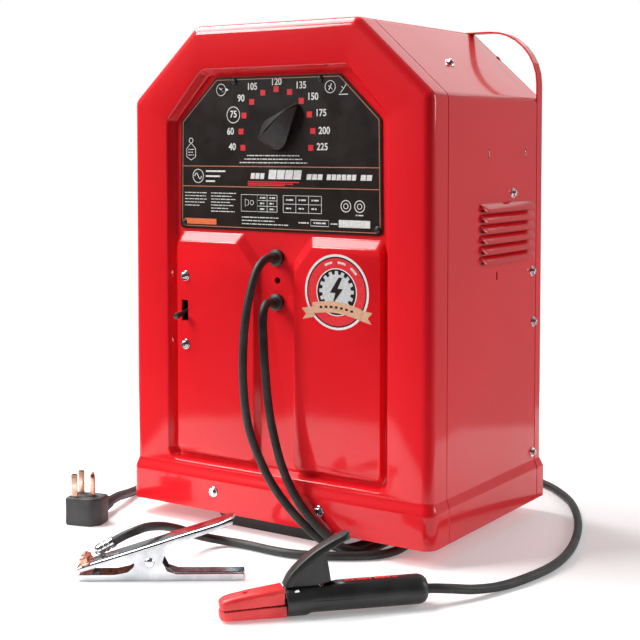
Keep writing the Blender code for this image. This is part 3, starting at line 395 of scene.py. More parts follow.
def smooth_route(points, step):
    knots = [Vector(p) for p in points]
    knots = [2 * knots[0] - knots[1]] + knots + [2 * knots[-1] - knots[-2]]
    fine = []
    for i in range(1, len(knots) - 2):
        a, b, c, d = knots[i - 1:i + 3]
        for k in range(12):
            t = k / 12
            fine.append(0.5 * (2 * b + (c - a) * t + (2 * a - 5 * b + 4 * c - d) * t ** 2
                               + (3 * b - a - 3 * c + d) * t ** 3))
    fine.append(knots[-2])
    travel = [0.0]
    for a, b in zip(fine, fine[1:]):
        travel.append(travel[-1] + (b - a).length)
    count = max(2, round(travel[-1] / step))
    out, j = [], 0
    for i in range(count + 1):
        want = travel[-1] * i / count
        while j < len(travel) - 2 and travel[j + 1] < want:
            j += 1
        share = (want - travel[j]) / (travel[j + 1] - travel[j])
        out.append(fine[j].lerp(fine[j + 1], share))
    return out


def tube_mesh(bm, points, radius, sides=16, radii=None):
    """A closed round tube along points, its sides carried along without twist."""
    points = [Vector(p) for p in points]
    ahead = (points[1] - points[0]).normalized()
    side = ahead.orthogonal().normalized()
    rings = []
    for i, point in enumerate(points):
        before, after = points[max(i - 1, 0)], points[min(i + 1, len(points) - 1)]
        direction = (after - before).normalized()
        side = (side - direction * side.dot(direction)).normalized()
        up = direction.cross(side)
        r = radii[i] if radii else radius
        rings.append([point + (side * math.cos(a) + up * math.sin(a)) * r
                      for a in circle(sides)])
    loft(bm, rings)


def apply_modifiers(piece):
    depsgraph = bpy.context.evaluated_depsgraph_get()
    mesh = bpy.data.meshes.new_from_object(piece.evaluated_get(depsgraph))
    old = piece.data
    piece.modifiers.clear()
    piece.data = mesh
    mesh.name = old.name
    bpy.data.meshes.remove(old)


def cut(piece, build, place=None):
    """Cuts a shape drawn in millimetres out of a piece; place is as in add."""
    bm = bmesh.new()
    build(bm)
    if place is not None:
        bm.transform(on_floor(place))
    outward(bm)
    bm.transform(Matrix.Scale(MM, 4))
    mesh = bpy.data.meshes.new("tool")
    bm.to_mesh(mesh)
    bm.free()
    tool = bpy.data.objects.new("tool", mesh)
    bpy.context.scene.collection.objects.link(tool)
    modifier = piece.modifiers.new("cut", "BOOLEAN")
    modifier.object = tool
    modifier.operation = "DIFFERENCE"
    modifier.solver = "EXACT"
    apply_modifiers(piece)
    bpy.data.objects.remove(tool)


# ------------------------------------------------------------------ camera, light and stage
def make_camera():
    camera = bpy.data.cameras.new("camera")
    camera.sensor_width = 36.0
    camera.lens = 1327.6 / 640 * 36.0
    camera.shift_y = -(320 - 216.25) / 640
    camera.clip_end = 60
    eye = bpy.data.objects.new("camera", camera)
    yaw, pitch = math.radians(33.72), math.radians(3.0)
    eye.location = (0.9132, -1.4020, 0.4654)
    eye.rotation_euler = (math.radians(90) - pitch, 0, yaw)
    bpy.context.scene.collection.objects.link(eye)
    bpy.context.scene.camera = eye


def area(name, place, aim, size, power, colour=(1, 1, 1)):
    light = bpy.data.lights.new(name, "AREA")
    light.shape = "RECTANGLE"
    light.size, light.size_y = size
    light.energy = power
    light.color = colour
    lamp = bpy.data.objects.new(name, light)
    lamp.location = place
    lamp.rotation_euler = (Vector(aim) - Vector(place)).to_track_quat("-Z", "Y").to_euler()
    bpy.context.scene.collection.objects.link(lamp)


def make_light():
    """A bright studio: white in front of the lens, a graded room for reflections, four soft boxes."""
    bpy.context.scene.view_settings.view_transform = "Standard"
    world = bpy.data.worlds.new("studio")
    world.use_nodes = True
    bpy.context.scene.world = world
    tree = world.node_tree
    background = tree.nodes["Background"]
    coords = tree.nodes.new("ShaderNodeTexCoord")
    split = tree.nodes.new("ShaderNodeSeparateXYZ")
    ramp = tree.nodes.new("ShaderNodeValToRGB")
    ramp.color_ramp.elements[0].position = 0.35
    ramp.color_ramp.elements[0].color = (0.035, 0.035, 0.036, 1)
    ramp.color_ramp.elements[1].position = 0.95
    ramp.color_ramp.elements[1].color = (0.45, 0.45, 0.45, 1)
    shift = tree.nodes.new("ShaderNodeMapRange")
    shift.inputs["From Min"].default_value = -1
    shift.inputs["From Max"].default_value = 1
    path = tree.nodes.new("ShaderNodeLightPath")
    mix = tree.nodes.new("ShaderNodeMix")
    mix.data_type = "RGBA"
    link = tree.links.new
    link(coords.outputs["Generated"], split.inputs["Vector"])
    link(split.outputs["Y"], shift.inputs["Value"])
    link(shift.outputs["Result"], ramp.inputs["Fac"])
    link(path.outputs["Is Camera Ray"], mix.inputs["Factor"])
    link(ramp.outputs["Color"], mix.inputs["A"])
    mix.inputs["B"].default_value = (1.0, 1.0, 1.0, 1)
    link(mix.outputs["Result"], background.inputs["Color"])
    background.inputs["Strength"].default_value = 1.0
    area("top_soft", (-1.4, -0.2, 2.3), (0, 0, 0.4), (2.2, 1.4), 118)
    area("front_soft", (-1.9, -2.2, 1.9), (0, 0, 0.3), (0.8, 1.2), 64)
    area("side_soft", (2.4, 1.2, 1.3), (0.2, 0, 0.3), (0.7, 1.4), 26)
    area("back_soft", (0.1, 2.2, 1.9), (0.1, 0, 0.5), (1.8, 1.0), 6)


def make_stage():
    """A pale round table top under the machine."""
    bm = bmesh.new()
    bm.faces.new(loop(bm, [(860 * math.cos(a), 60 + 860 * math.sin(a), -0.05)
                           for a in circle(128)]))
    bm.transform(Matrix.Scale(MM, 4))
    mesh = bpy.data.meshes.new("floor")
    bm.to_mesh(mesh)
    bm.free()
    n = Nodes("floor_pale", (0.86, 0.86, 0.86), 0.6)
    n.colour(n.noise(1.2), (0.85, 0.85, 0.85), (0.88, 0.88, 0.88))
    n.shader.inputs["Emission Color"].default_value = (1, 1, 1, 1)
    n.shader.inputs["Emission Strength"].default_value = 0.25
    mesh.materials.append(n.mat)
    floor = bpy.data.objects.new("floor", mesh)
    bpy.context.scene.collection.objects.link(floor)


make_camera()
make_light()
make_stage()


# ------------------------------------------------------------------ cords
RELIEF = FRONT + 1.6 - 0.4


def coil_turns(centre, middle, r, start, turns, sense, window=(0.68, 0.98)):
    """Two by two turns: in, up and out again, always one diameter from their neighbours."""
    inner, step, low = middle - r, 2 * r + 0.15, r + 0.2
    out = []
    count = int(turns * 26)
    for i in range(count + 1):
        t = turns * i / count
        lap, part = int(t), t - int(t)
        share = min(1, max(0, (part - window[0]) / (window[1] - window[0])))
        phi = share * share * (3 - 2 * share) * math.pi / 2
        if lap == 0:
            radius, z = inner + step * math.cos(phi), low
        elif lap == 1:
            radius, z = inner, low + step * math.sin(phi)
        elif lap == 2:
            radius, z = inner + step * math.sin(phi), low + step * (math.sin(phi) + math.cos(phi))
        else:
            radius, z = inner + step, low + step
        angle = start + sense * 2 * math.pi * t
        out.append((centre[0] + radius * math.cos(angle), centre[1] + radius * math.sin(angle), z))
    return out


ELECTRODE_A = [
    (0, RELIEF, 334), (0, -148, 333.8), (-2, -163, 322), (-6, -173, 290), (-9, -178, 255),
    (-10, -180, 215), (-9, -179, 175), (-5, -176, 140), (4, -171, 109), (18, -164, 76),
    (38, -157, 48), (62, -153, 26), (83, -149, 12), (101, -139, 5.4), (111, -121, 5.2),
    (113, -95, 5.2), (110, -50, 5.2), (104, 0, 5.2), (103, 60, 5.2), (103, 112, 5.2),
    (96, 140, 5.2), (76, 154, 5.2), (40, 159, 5.2), (0, 162, 5.2), (-26, 168, 5.2), (-50, 178, 5.2),
]
ELECTRODE_B = [
    (-45, 302.6, 13.0), (-16, 308.0, 7.5), (10, 311.5, 5.4), (40, 312.5, 5.2), (75, 309, 5.2),
    (110, 299, 5.2), (141, 282, 5.2), (171, 261, 5.2), (200, 238, 5.2), (242, 189, 5.2),
    (281, 118, 5.2), (308, 48, 5.2), (324, -16, 5.2), (328, -70, 5.2), (321, -122, 5.2),
    (310, -160, 5.6), (297, -192, 9), (282, -217, 14), (266.4, -235.2, 16.5),
    (243, -260.6, 17), (222.5, -282.5, 17), (202, -304.4, 17),
]
WORK_A = [
    (0, RELIEF, 281), (0, -148, 280.8), (3, -158, 267), (6, -161, 238), (9, -162, 205),
    (12, -161, 170), (17, -160, 140), (28, -158, 99), (44, -156, 66), (64, -155, 42),
    (86, -154, 24), (108, -151, 11), (124, -138, 5.4), (130, -115, 5.2), (130, -80, 5.2),
    (129, -20, 5.2), (129, 50, 5.2), (128, 100, 5.2), (123, 135, 5.2), (111, 158, 5.2), (94, 171, 5.2),
]
WORK_B = [
    (126, 212, 15.0), (130, 188, 11.0), (138, 165, 6.6), (147, 140, 5.2), (152, 110, 5.2),
    (155, 60, 5.2), (155, -20, 5.2), (156, -80, 5.2), (157, -112, 5.2), (150, -134, 5.2),
    (134, -151, 5.2), (106, -170, 5.2), (74, -185, 5.2), (43, -190, 5.2), (0, -189, 5.2),
    (-28, -196, 7), (-43, -218, 15), (-46, -248, 29), (-43.5, -282, 42), (-43.2, -310, 48),
    (-46.6, -330, 47), (-53.2, -339.5, 43.2), (-60.5, -344.5, 38.3),
]
MAINS_A = [
    (-150, REAR + 34.6, 88), (-150, 195, 88), (-150, 210, 85), (-150, 225.5, 76),
    (-150.4, 237, 62), (-151.6, 243, 47.5), (-154, 248.5, 33), (-158.2, 260, 19.2),
    (-164.4, 276, 9.6),
]
MAINS_B = [
    (-314, 238, 14), (-316, 206, 7.4), (-312, 175, 6.2), (-305, 140, 6.2), (-298, 100, 6.2),
    (-287, 35, 6.2), (-274, -35, 6.2), (-264, -82, 7), (-256, -108, 9.5), (-249.2, -130, 12.4),
    (-244.6, -144.8, 13), (-240.2, -158.9, 13),
]


def cord_piece(name, start, coil, end, radius, body="machine"):
    """One smooth centreline through the way in, the coil and the way out, and its tube."""
    route = smooth_route([*start, *coil, *end], 1.0 * radius)
    bm = bmesh.new()
    tube_mesh(bm, route, radius, 14)
    outward(bm)
    return add(name, bm, "rubber", body), [tuple(p * MM) for p in route]


def make_cords():
    half = math.pi / 2
    electrode, electrode_path = cord_piece(
        "electrode_lead", ELECTRODE_A, coil_turns((-70, 240), 55, 5, -half, 3.5, -1), ELECTRODE_B, 5)
    work, work_path = cord_piece(
        "work_lead", WORK_A, coil_turns((75, 234), 55, 5, -half, 2.75, -1, (0.80, 0.99)), WORK_B, 5, None)
    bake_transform(work)
    mains, mains_path = cord_piece(
        "mains_cord", MAINS_A, coil_turns((-240, 268), 66, 6, math.radians(24), 3 + 156 / 360, 1),
        MAINS_B, 6)
    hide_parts("electrode_lead_front", "electrode_lead_coil", "electrode_lead_end")
    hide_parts("work_lead_front", "work_lead_coil", "work_lead_end")
    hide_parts("mains_cord_exit", "mains_cord_coil", "mains_cord_end")
    return (electrode, electrode_path), (work, work_path), (mains, mains_path)


CORDS = make_cords()


# ------------------------------------------------------------------ cabinet shells
EDGE_RADIUS, BEND_RADIUS = 12.0, 14.0
FOOT_HEIGHT, CREASE_LOW, CREASE_HIGH = 20.0, 57.0, 72.0
RECESS_DEPTH, PAD_DEPTH, SHEET = 12.0, 4.0, 2.0
SEAM_Y = FRONT + 37.0
JOGGLE = 2.6
EAR_DEPTH = 14.0
SWITCH = (-135.0, 263.0)
LOUVRE_TOP, LOUVRE_PITCH, LOUVRE_COUNT = 399.0, 12.3, 6
LOUVRE_FRONT, LOUVRE_REAR = -22.0, 123.0
FOOT_STEPS = 7
PANEL_HOLES = [(7.5, 334.0, 28), (7.5, 281.0, 28), (4, 307, 20), (7, DIAL_Z, 24)]


def cabinet_path(steps=8):
    """Right bottom, over the top, to left bottom: (x, z, outward x, outward z, flare)."""
    right = [(HALF_WIDTH, FOOT_HEIGHT, 1.0, 0.0, FLARE)]
    for k in range(FOOT_STEPS):
        t = k / (FOOT_STEPS - 1)
        flare = FLARE * (1 - t * t * (3 - 2 * t))
        right.append((HALF_WIDTH, CREASE_LOW + (CREASE_HIGH - CREASE_LOW) * t, 1.0, 0.0, flare))
    corners = [Vector(p) for p in ((HALF_WIDTH, CREASE_HIGH), (HALF_WIDTH, SHOULDER),
                                   (HALF_WIDTH - CHAMFER_X, TOP), (0, TOP))]
    for i in (1, 2):
        here = corners[i]
        back = (corners[i - 1] - here).normalized()
        ahead = (corners[i + 1] - here).normalized()
        half = back.angle(ahead) / 2
        centre = here + (back + ahead).normalized() * (BEND_RADIUS / math.sin(half))
        reach = BEND_RADIUS / math.tan(half)
        start, end = here + back * reach - centre, here + ahead * reach - centre
        for k in range(steps + 1):
            arm = start.lerp(end, k / steps).normalized()
            point = centre + arm * BEND_RADIUS
            right.append((point.x, point.y, arm.x, arm.y, 0.0))
    return right + [(-x, z, -nx, nz, flare) for x, z, nx, nz, flare in reversed(right)]


def section(path, inset, y, flare_y=0.0):
    points = []
    for x, z, nx, nz, flare in path:
        side = math.copysign(flare, nx) if flare else 0.0
        points.append(Vector((x + side - nx * inset, y + flare_y * flare / FLARE, z - nz * inset)))
    return points


def at_y(outline, y):
    return [Vector((x, y, z)) for x, z in outline]


def recess_outline(grow):
    half_top, half, low, high = 102 + grow * 0.5, 152 + grow, 80.5 - 0.7 * grow, 552 + grow
    points = [(-half, low), (half, low), (half, 499), (half_top, high), (-half_top, high), (-half, 499)]
    return fillet(points, 9 + grow * 0.8, 6)


def pad_outline(side, rise):
    """One raised pad: rise 0 is its foot, 1 its face."""
    outer, inner = 149 - 2 * rise, 24 + 6 * rise
    top, low = 360 - 11 * rise, 84 + 4 * rise
    points = [(side * outer, low), (side * inner, low), (side * inner, top - 30),
              (side * (inner + 25), top), (side * outer, top)]
    if side < 0:
        points.reverse()
    return fillet(points, 7, 6)


LIP = [(9.0, 0.0), (7.9, 0.25), (7.0, 0.9), (6.2, 2.0), (1.8, 9.6), (1.0, 10.9), (0.1, 11.75), (-0.8, 12.0)]
PAD_RISE = [(-0.1, 0.0), (0.02, 0.35), (0.13, 1.1), (0.84, 6.8), (0.93, 7.45), (1.04, 7.85), (1.16, 8.0)]


def face_out(bm, key, axis, sign):
    """Turns every face outward, judged by the one face that key finds."""
    bmesh.ops.recalc_face_normals(bm, faces=bm.faces)
    bm.faces.ensure_lookup_table()
    probe = min(bm.faces, key=key)
    if probe.normal[axis] * sign < 0:
        bmesh.ops.reverse_faces(bm, faces=bm.faces)


def thicken(piece, thickness=SHEET):
    modifier = piece.modifiers.new("sheet", "SOLIDIFY")
    modifier.thickness = thickness * MM
    modifier.offset = -1
    modifier.use_even_offset = True
    apply_modifiers(piece)


def make_front_panel():
    bm = bmesh.new()
    path = cabinet_path()
    rings = [loop(bm, section(path, 0.0, SEAM_Y)), loop(bm, section(path, 0.0, FRONT + EDGE_RADIUS))]
    steps = 10
    for k in range(1, steps + 1):
        angle = math.radians(90 * k / steps)
        rings.append(loop(bm, section(path, EDGE_RADIUS * (1 - math.cos(angle)),
                                      FRONT + EDGE_RADIUS * (1 - math.sin(angle)), -FLARE * k / steps)))
    skin(bm, rings, False)
    edge = rings[-1]
    last = len(edge) - 1
    for i in range(FOOT_STEPS):
        bm.faces.new((edge[i], edge[i + 1], edge[last - i - 1], edge[last - i]))
    lips = [loop(bm, at_y(recess_outline(grow), FRONT + depth)) for grow, depth in LIP]
    skin(bm, lips)
    fill(bm, [edge[FOOT_STEPS:last - FOOT_STEPS + 1], lips[0]])
    feet = []
    for side in (-1, 1):
        stack = [loop(bm, at_y(pad_outline(side, rise), FRONT + RECESS_DEPTH - height))
                 for rise, height in PAD_RISE]
        skin(bm, stack)
        fill(bm, [stack[-1]])
        feet.append(stack[0])
    fill(bm, [lips[-1], *feet])
    face_out(bm, lambda f: f.calc_center_median().y + abs(f.calc_center_median().x), 1, -1)
    panel = add("front_panel_skin", bm, "red", "machine", crease=24)
    thicken(panel)
    for radius, z, sides in PANEL_HOLES:
        profile = [(0, FRONT), (radius, FRONT), (radius, FRONT + 18), (0, FRONT + 18)]
        cut(panel, lambda m: turn(m, profile, (0, 0, z), "Y", sides))
    cut(panel, lambda m: box(m, (SWITCH[0] - 5, FRONT, SWITCH[1] - 13),
                             (SWITCH[0] + 5, FRONT + 18, SWITCH[1] + 13)))
    panel.data.set_sharp_from_angle(angle=math.radians(24))
    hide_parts("front_panel")
    return panel


def joggled(path, y):
    """The outline with sides and top pulled in for the rear panel's flange, chamfers as they are."""
    points = []
    slope = (TOP - SHOULDER) / CHAMFER_X
    for x, z, nx, nz, flare in path:
        side = math.copysign(flare, nx) if flare else 0.0
        reach = min(abs(x + side), HALF_WIDTH + abs(side) - JOGGLE)
        height = min(z, TOP - JOGGLE)
        if reach > HALF_WIDTH - CHAMFER_X and height > SHOULDER - BEND_RADIUS:
            height = min(height, TOP - (reach - HALF_WIDTH + CHAMFER_X) * slope)
        points.append(Vector((math.copysign(reach, x), y, height)))
    return points


def louvre_hood(bm, side, top):
    """One punched hood: a rounded slope whose ends curve back into the wall."""
    profile = [(-0.6, 0.4), (0.6, -0.1), (3.2, -2.6), (6.0, -6.0), (7.4, -8.4), (7.7, -9.9)]
    inner = [(-1.0, -1.4), (0.0, -2.0), (1.9, -4.2), (4.6, -7.2), (6.1, -9.0), (6.4, -9.9)]
    length = LOUVRE_REAR - LOUVRE_FRONT
    stations = [length * k / 12 for k in range(2, 11)]
    ends = [13 * (1 - math.cos(math.radians(15 * k))) for k in range(7)]
    stations = sorted(ends + stations[1:-1] + [length - e for e in ends])
    outer_rows, inner_rows = [], []
    for place in stations:
        edge = min(place, length - place)
        swell = math.sqrt(max(0.0, 1 - (1 - min(edge, 13) / 13) ** 2))
        y = LOUVRE_FRONT + place
        outer_rows.append(loop(bm, [(side * (HALF_WIDTH + (out * swell if out > 0 else out)), y,
                                     top + drop * (0.35 + 0.65 * swell)) for out, drop in profile]))
        inner_rows.append(loop(bm, [(side * (HALF_WIDTH - 0.8 + ((out + 0.2) * swell if out > 0 else out)), y,
                                     top + drop * (0.35 + 0.65 * swell)) for out, drop in inner]))
    for rows in (outer_rows, inner_rows):
        skin(bm, rows, False)
    for a, b, c, d in zip(outer_rows, outer_rows[1:], inner_rows, inner_rows[1:]):
        bm.faces.new((a[-1], b[-1], d[-1], c[-1]))
        bm.faces.new((a[0], b[0], d[0], c[0]))
    for a, c in ((outer_rows[0], inner_rows[0]), (outer_rows[-1], inner_rows[-1])):
        bridge(bm, a, c, closed=False)


def make_wrap():
    bm = bmesh.new()
    path = cabinet_path()
    rings = [loop(bm, section(path, JOGGLE, SEAM_Y - 14)), loop(bm, section(path, JOGGLE, SEAM_Y + 0.3)),
             loop(bm, section(path, 1.0, SEAM_Y + 0.8)), loop(bm, section(path, 0.0, SEAM_Y + 2.0)),
             loop(bm, section(path, 0.0, REAR - EAR_DEPTH - 2.0)),
             loop(bm, joggled(path, REAR - EAR_DEPTH - 0.4)), loop(bm, joggled(path, REAR - SHEET - 0.4))]
    skin(bm, rings, False)
    face_out(bm, lambda f: -f.calc_center_median().z, 2, 1)
    wrap = add("case_wrap_skin", bm, "red", "machine", crease=24)
    thicken(wrap)
    for side in (-1, 1):
        for i in range(LOUVRE_COUNT):
            top = LOUVRE_TOP - i * LOUVRE_PITCH
            cut(wrap, lambda m: box(m, (side * HALF_WIDTH - 5, LOUVRE_FRONT + 5, top - 9.6),
                                    (side * HALF_WIDTH + 5, LOUVRE_REAR - 5, top - 3.0)))
        for y, z in ((1, 457), (101, 457), (24, 312)):
            cut(wrap, lambda m: box(m, (side * HALF_WIDTH - 5, y - 1.7, z - 5),
                                    (side * HALF_WIDTH + 5, y + 1.7, z + 5)))
    wrap.data.set_sharp_from_angle(angle=math.radians(24))
    bm = bmesh.new()
    for side in (-1, 1):
        for i in range(LOUVRE_COUNT):
            louvre_hood(bm, side, LOUVRE_TOP - i * LOUVRE_PITCH)
    outward(bm)
    add("case_louvres", bm, "red", "machine", crease=40)
    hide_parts("case_wrap")
    bm = bmesh.new()
    for side in (-1, 1):
        for y in (1, 101):
            x = side * (HALF_WIDTH - 1.0)
            near, far = sorted((x, x + side * 1.4))
            soft_box(bm, (near, y - 1.0, 453.2), (far, y + 1.0, 460.8), 0.3)
    outward(bm)
    add("case_bracket_tabs", bm, "zinc", "machine")


# ------------------------------------------------------------------ screws
def hex_ring(radius, height, matrix, twist=0):
    return [matrix @ Vector((radius * math.cos(math.radians(60 * k + twist)),
                             radius * math.sin(math.radians(60 * k + twist)), height)) for k in range(6)]


def hex_screw(bm, place, normal, across=4.4):
    """A washer-faced hex head with a dished top, standing on place along normal."""
    aim = Vector(normal).to_track_quat("Z", "Y").to_matrix().to_4x4()
    frame_matrix = Matrix.Translation(place) @ aim
    turn(bm, [(0, -0.3), (6.4, -0.3), (6.4, 0.5), (5.9, 1.1), (4.6, 1.3), (0, 1.3)], sides=28,
         frame_matrix=frame_matrix)
    loft(bm, [hex_ring(radius, height, frame_matrix) for radius, height in
              ((across, 1.0), (across, 4.0), (across - 0.7, 4.7), (across - 1.6, 4.7), (across - 2.1, 4.1))])


CHAMFER_NORMAL = Vector((TOP - SHOULDER, 0, CHAMFER_X)).normalized()


def make_screws():
    bm = bmesh.new()
    for x, z in ((-85, 44), (70, 44)):
        hex_screw(bm, (x, FRONT - FLARE, z), (0, -1, 0))
    for z in (306, 221):
        hex_screw(bm, (-134, FRONT + PAD_DEPTH, z), (0, -1, 0))
    for side in (-1, 1):
        for y, z in ((67, 409), (123, 310), (142, 246), (142, 80)):
            hex_screw(bm, (side * HALF_WIDTH, min(y, REAR - EAR_DEPTH - 7), z), (side, 0, 0), 3.6)
        slope = CHAMFER_NORMAL.copy()
        slope.x *= side
        height = TOP - (169.5 - HALF_WIDTH + CHAMFER_X) * (TOP - SHOULDER) / CHAMFER_X
        hex_screw(bm, (side * 169.5, -13, height), slope, 3.6)
    for x in (-190, 0, 190):
        hex_screw(bm, (x, REAR + FLARE, 44), (0, 1, 0))
    for x, z in ((-196, 300), (196, 300), (-150, 575), (150, 575)):
        hex_screw(bm, (x, REAR, z), (0, 1, 0))
    for x in (-93, 93):
        hex_screw(bm, (x, REAR, 390), (0, 1, 0), 3.6)
    outward(bm)
    add("case_screws", bm, "zinc", "machine", crease=28)


# ------------------------------------------------------------------ nameplate print
PLATE_Y = FRONT + RECESS_DEPTH - 0.4 - 1.2
INK = 0.14


def ink_prism(bm, outline, lift=0.0):
    loft(bm, [at_y(outline, PLATE_Y + 0.03), at_y(outline, PLATE_Y - INK - lift)])


def ink_bar(bm, x0, z0, x1, z1, lift=0.0):
    ink_prism(bm, [(x0, z0), (x1, z0), (x1, z1), (x0, z1)], lift)


def ink_path(bm, points, width, closed=True):
    """A flat line of even width along points."""
    count = len(points)
    sides = []
    for i, here in enumerate(points):
        here = Vector(here)
        before = Vector(points[i - 1]) if (i or closed) else here
        after = Vector(points[(i + 1) % count]) if (i < count - 1 or closed) else here
        ahead = (after - before).normalized()
        normal = Vector((-ahead.y, ahead.x)) * width / 2
        sides.append((here + normal, here - normal))
    pairs = list(zip(sides, sides[1:])) + ([(sides[-1], sides[0])] if closed else [])
    for (a, b), (c, d) in pairs:
        ink_prism(bm, [tuple(a), tuple(b), tuple(d), tuple(c)])


def ring_points(x, z, radius, steps=28):
    return [(x + radius * math.cos(2 * math.pi * k / steps), z + radius * math.sin(2 * math.pi * k / steps))
            for k in range(steps)]


def ink_piece(name, look, build):
    bm = bmesh.new()
    build(bm)
    outward(bm)
    return add(name, bm, look, "machine", crease=20)


def rule_lines(bm, x0, x1, z_top, rows, pitch, shortfalls, thick=0.9):
    """Rows of short strokes that read as small print."""
    for row in range(rows):
        z = z_top - row * pitch
        x, k = x0, row * 3
        end = x1 - shortfalls[row % len(shortfalls)]
        while x < end:
            word = 2.2 + 1.7 * ((k * 7) % 4)
            ink_bar(bm, x, z - thick / 2, min(x + word, end), z + thick / 2)
            x += word + 1.1
            k += 1


def table_grid(bm, x0, x1, z0, z1, columns, rows):
    for i in range(columns + 1):
        x = x0 + (x1 - x0) * i / columns
        ink_bar(bm, x - 0.3, z0, x + 0.3, z1)
    for j in range(rows + 1):
        z = z0 + (z1 - z0) * j / rows
        ink_bar(bm, x0, z - 0.3, x1, z + 0.3)


def dial_numbers():
    """The amperage numbers, set as text and turned to mesh."""
    for i, label in enumerate("40 60 75 90 105 120 135 150 175 200 225".split()):
        angle = (i - 5) * DIAL_STEP
        x = 52 * math.sin(angle) + (0 if i == 5 else math.copysign(16, i - 5))
        z = DIAL_Z + 52 * math.cos(angle) + 8.5 * math.cos(angle) ** 2
        text = bpy.data.curves.new("dial_number_" + label, "FONT")
        text.body = label
        text.size = 11.5 * MM
        text.align_x, text.align_y = "CENTER", "CENTER"
        text.extrude = INK / 2 * MM
        text.offset = 0.22 * MM
        holder = bpy.data.objects.new("dial_number_" + label, text)
        bpy.context.scene.collection.objects.link(holder)
        holder.rotation_euler = (math.radians(90), 0, 0)
        holder.scale = (0.92, 1, 1)
        holder.location = (x * MM, (PLATE_Y - INK / 2) * MM, z * MM)
        bpy.context.view_layer.update()
        mesh = bpy.data.meshes.new_from_object(holder.evaluated_get(bpy.context.evaluated_depsgraph_get()))
        mesh.transform(holder.matrix_world)
        bpy.data.objects.remove(holder)
        mesh.materials.clear()
        mesh.materials.append(MAT["ink_white"])
        piece = bpy.data.objects.new("dial_number_" + label, mesh)
        bpy.context.scene.collection.objects.link(piece)
        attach(piece, "machine")


def plate_border(grow):
    return fillet([(-143.5 - grow, 368 - grow), (143.5 + grow, 368 - grow),
                   (141.6 + grow, 495.8 + grow * 0.4), (88.8 + grow * 0.5, 546 + grow),
                   (-88.8 - grow * 0.5, 546 + grow),
                   (-141.6 - grow, 495.8 + grow * 0.4)], 4, 4)


def print_gold(bm):
    ink_path(bm, plate_border(-0.2), 0.9)
    ink_bar(bm, -143, 441.2, 143, 442.2)
    ink_bar(bm, -143, 416.6, 143, 417.6)


def print_white(bm):
    ink_path(bm, ring_points(-63.5, DIAL_Z + 22.6, 9.6), 0.9)
    for x, tilt in ((-82, -0.7), (76, 1.1)):
        ink_path(bm, ring_points(x, 534, 7.0), 0.8)
        dx, dz = 4.2 * math.cos(tilt), 4.2 * math.sin(tilt)
        ink_path(bm, [(x - dx, 534 - dz), (x + dx, 534 + dz)], 1.2, closed=False)
        ink_path(bm, [(x - dz * 0.6, 534 + dx * 0.6), (x, 534), (x + 3, 531)], 0.9, closed=False)
    ink_prism(bm, [(-74.5, 536), (-70.5, 534), (-74.5, 532)])
    ink_path(bm, [(88, 525), (100, 525)], 1.1, closed=False)
    ink_path(bm, [(90, 527), (94.5, 531.5), (98, 537)], 0.8, closed=False)
    ink_path(bm, [(94.5, 531.5), (91.5, 534)], 0.8, closed=False)
    ink_path(bm, [(-136, 463), (-136, 453), (-129, 449), (-122, 453), (-122, 463), (-129, 470)], 0.8)
    rule_lines(bm, -133.5, -124.5, 462, 3, 3.4, (0, 1, 0))
    ink_path(bm, ring_points(-129, 473, 3.0, 16), 0.8)
    rule_lines(bm, -43, 33, 454.8, 1, 4, (0,), 1.2)
    rule_lines(bm, -47, 37, 450.6, 1, 4, (0,), 1.2)
    rule_lines(bm, -54, 44, 446.4, 1, 4, (0,), 1.2)
    for x0, x1, z0, z1 in ((-38, -17, 427, 434), (-12, 36, 427, 438), (43, 66, 427, 433.5),
                           (71, 112, 427, 433.5), (117, 133, 427, 433.5)):
        blocks = round((x1 - x0) / (z1 - z0) / 1.05)
        wide = (x1 - x0) / blocks
        for k in range(blocks):
            a, b, lean = x0 + wide * k, x0 + wide * (k + 1) - 1.2, (z1 - z0) * 0.16
            ink_prism(bm, [(a, z0), (b, z0), (b + lean, z1), (a + lean, z1)])
    rule_lines(bm, -139, -104, 409, 5, 3.9, (0, 2, 1, 4, 12), 1.0)
    rule_lines(bm, -98, -60, 409, 7, 3.7, (0, 6, 1, 9, 3, 12, 2), 1.0)
    ink_path(bm, [(-52, 388), (-28, 388), (-28, 408), (-52, 408)], 0.7)
    ink_path(bm, [(-46, 394), (-46, 403), (-41, 401), (-41, 396)], 0.7)
    ink_path(bm, ring_points(-36, 398.5, 2.6, 14), 0.7)
    table_grid(bm, -28, 1, 388, 408, 2, 3)
    table_grid(bm, 10, 64, 388, 408, 3, 2)
    for x in (-24, -10):
        rule_lines(bm, x, x + 8, 404.6, 3, 6.7, (0, 2, 1), 1.8)
    for x in (14, 32, 50):
        rule_lines(bm, x, x + 10, 403, 2, 10, (0, 2), 1.8)
    rule_lines(bm, -51, 17, 381, 3, 4.0, (14, 20, 0), 1.1)
    rule_lines(bm, 32, 46, 376.6, 1, 4, (0,), 1.5)
    ink_path(bm, [(49, 373.4), (74, 373.4), (74, 380.4), (49, 380.4)], 0.8)
    rule_lines(bm, 53, 70, 376.9, 1, 4, (0,), 1.8)
    rule_lines(bm, 77, 86, 376.6, 1, 4, (0,), 1.5)
    ink_bar(bm, 88, 373.0, 130, 381.6)
    for x in (97.5, 116):
        ink_path(bm, ring_points(x, 397.5, 6.6), 1.0)
        ink_path(bm, ring_points(x, 397.5, 3.0, 16), 0.9)
    rule_lines(bm, 111, 121, 387.4, 1, 4, (0,), 1.4)


def print_red(bm):
    for i in range(11):
        angle = (i - 5) * DIAL_STEP
        x, z = 52 * math.sin(angle), DIAL_Z + 52 * math.cos(angle)
        ink_bar(bm, x - 3.6, z - 3.4, x + 3.6, z + 3.4, 0.05)
    for z, x1 in ((423.6, 33), (421.4, 24), (419.6, 12)):
        ink_bar(bm, -42, z - 0.7, x1, z + 0.7)


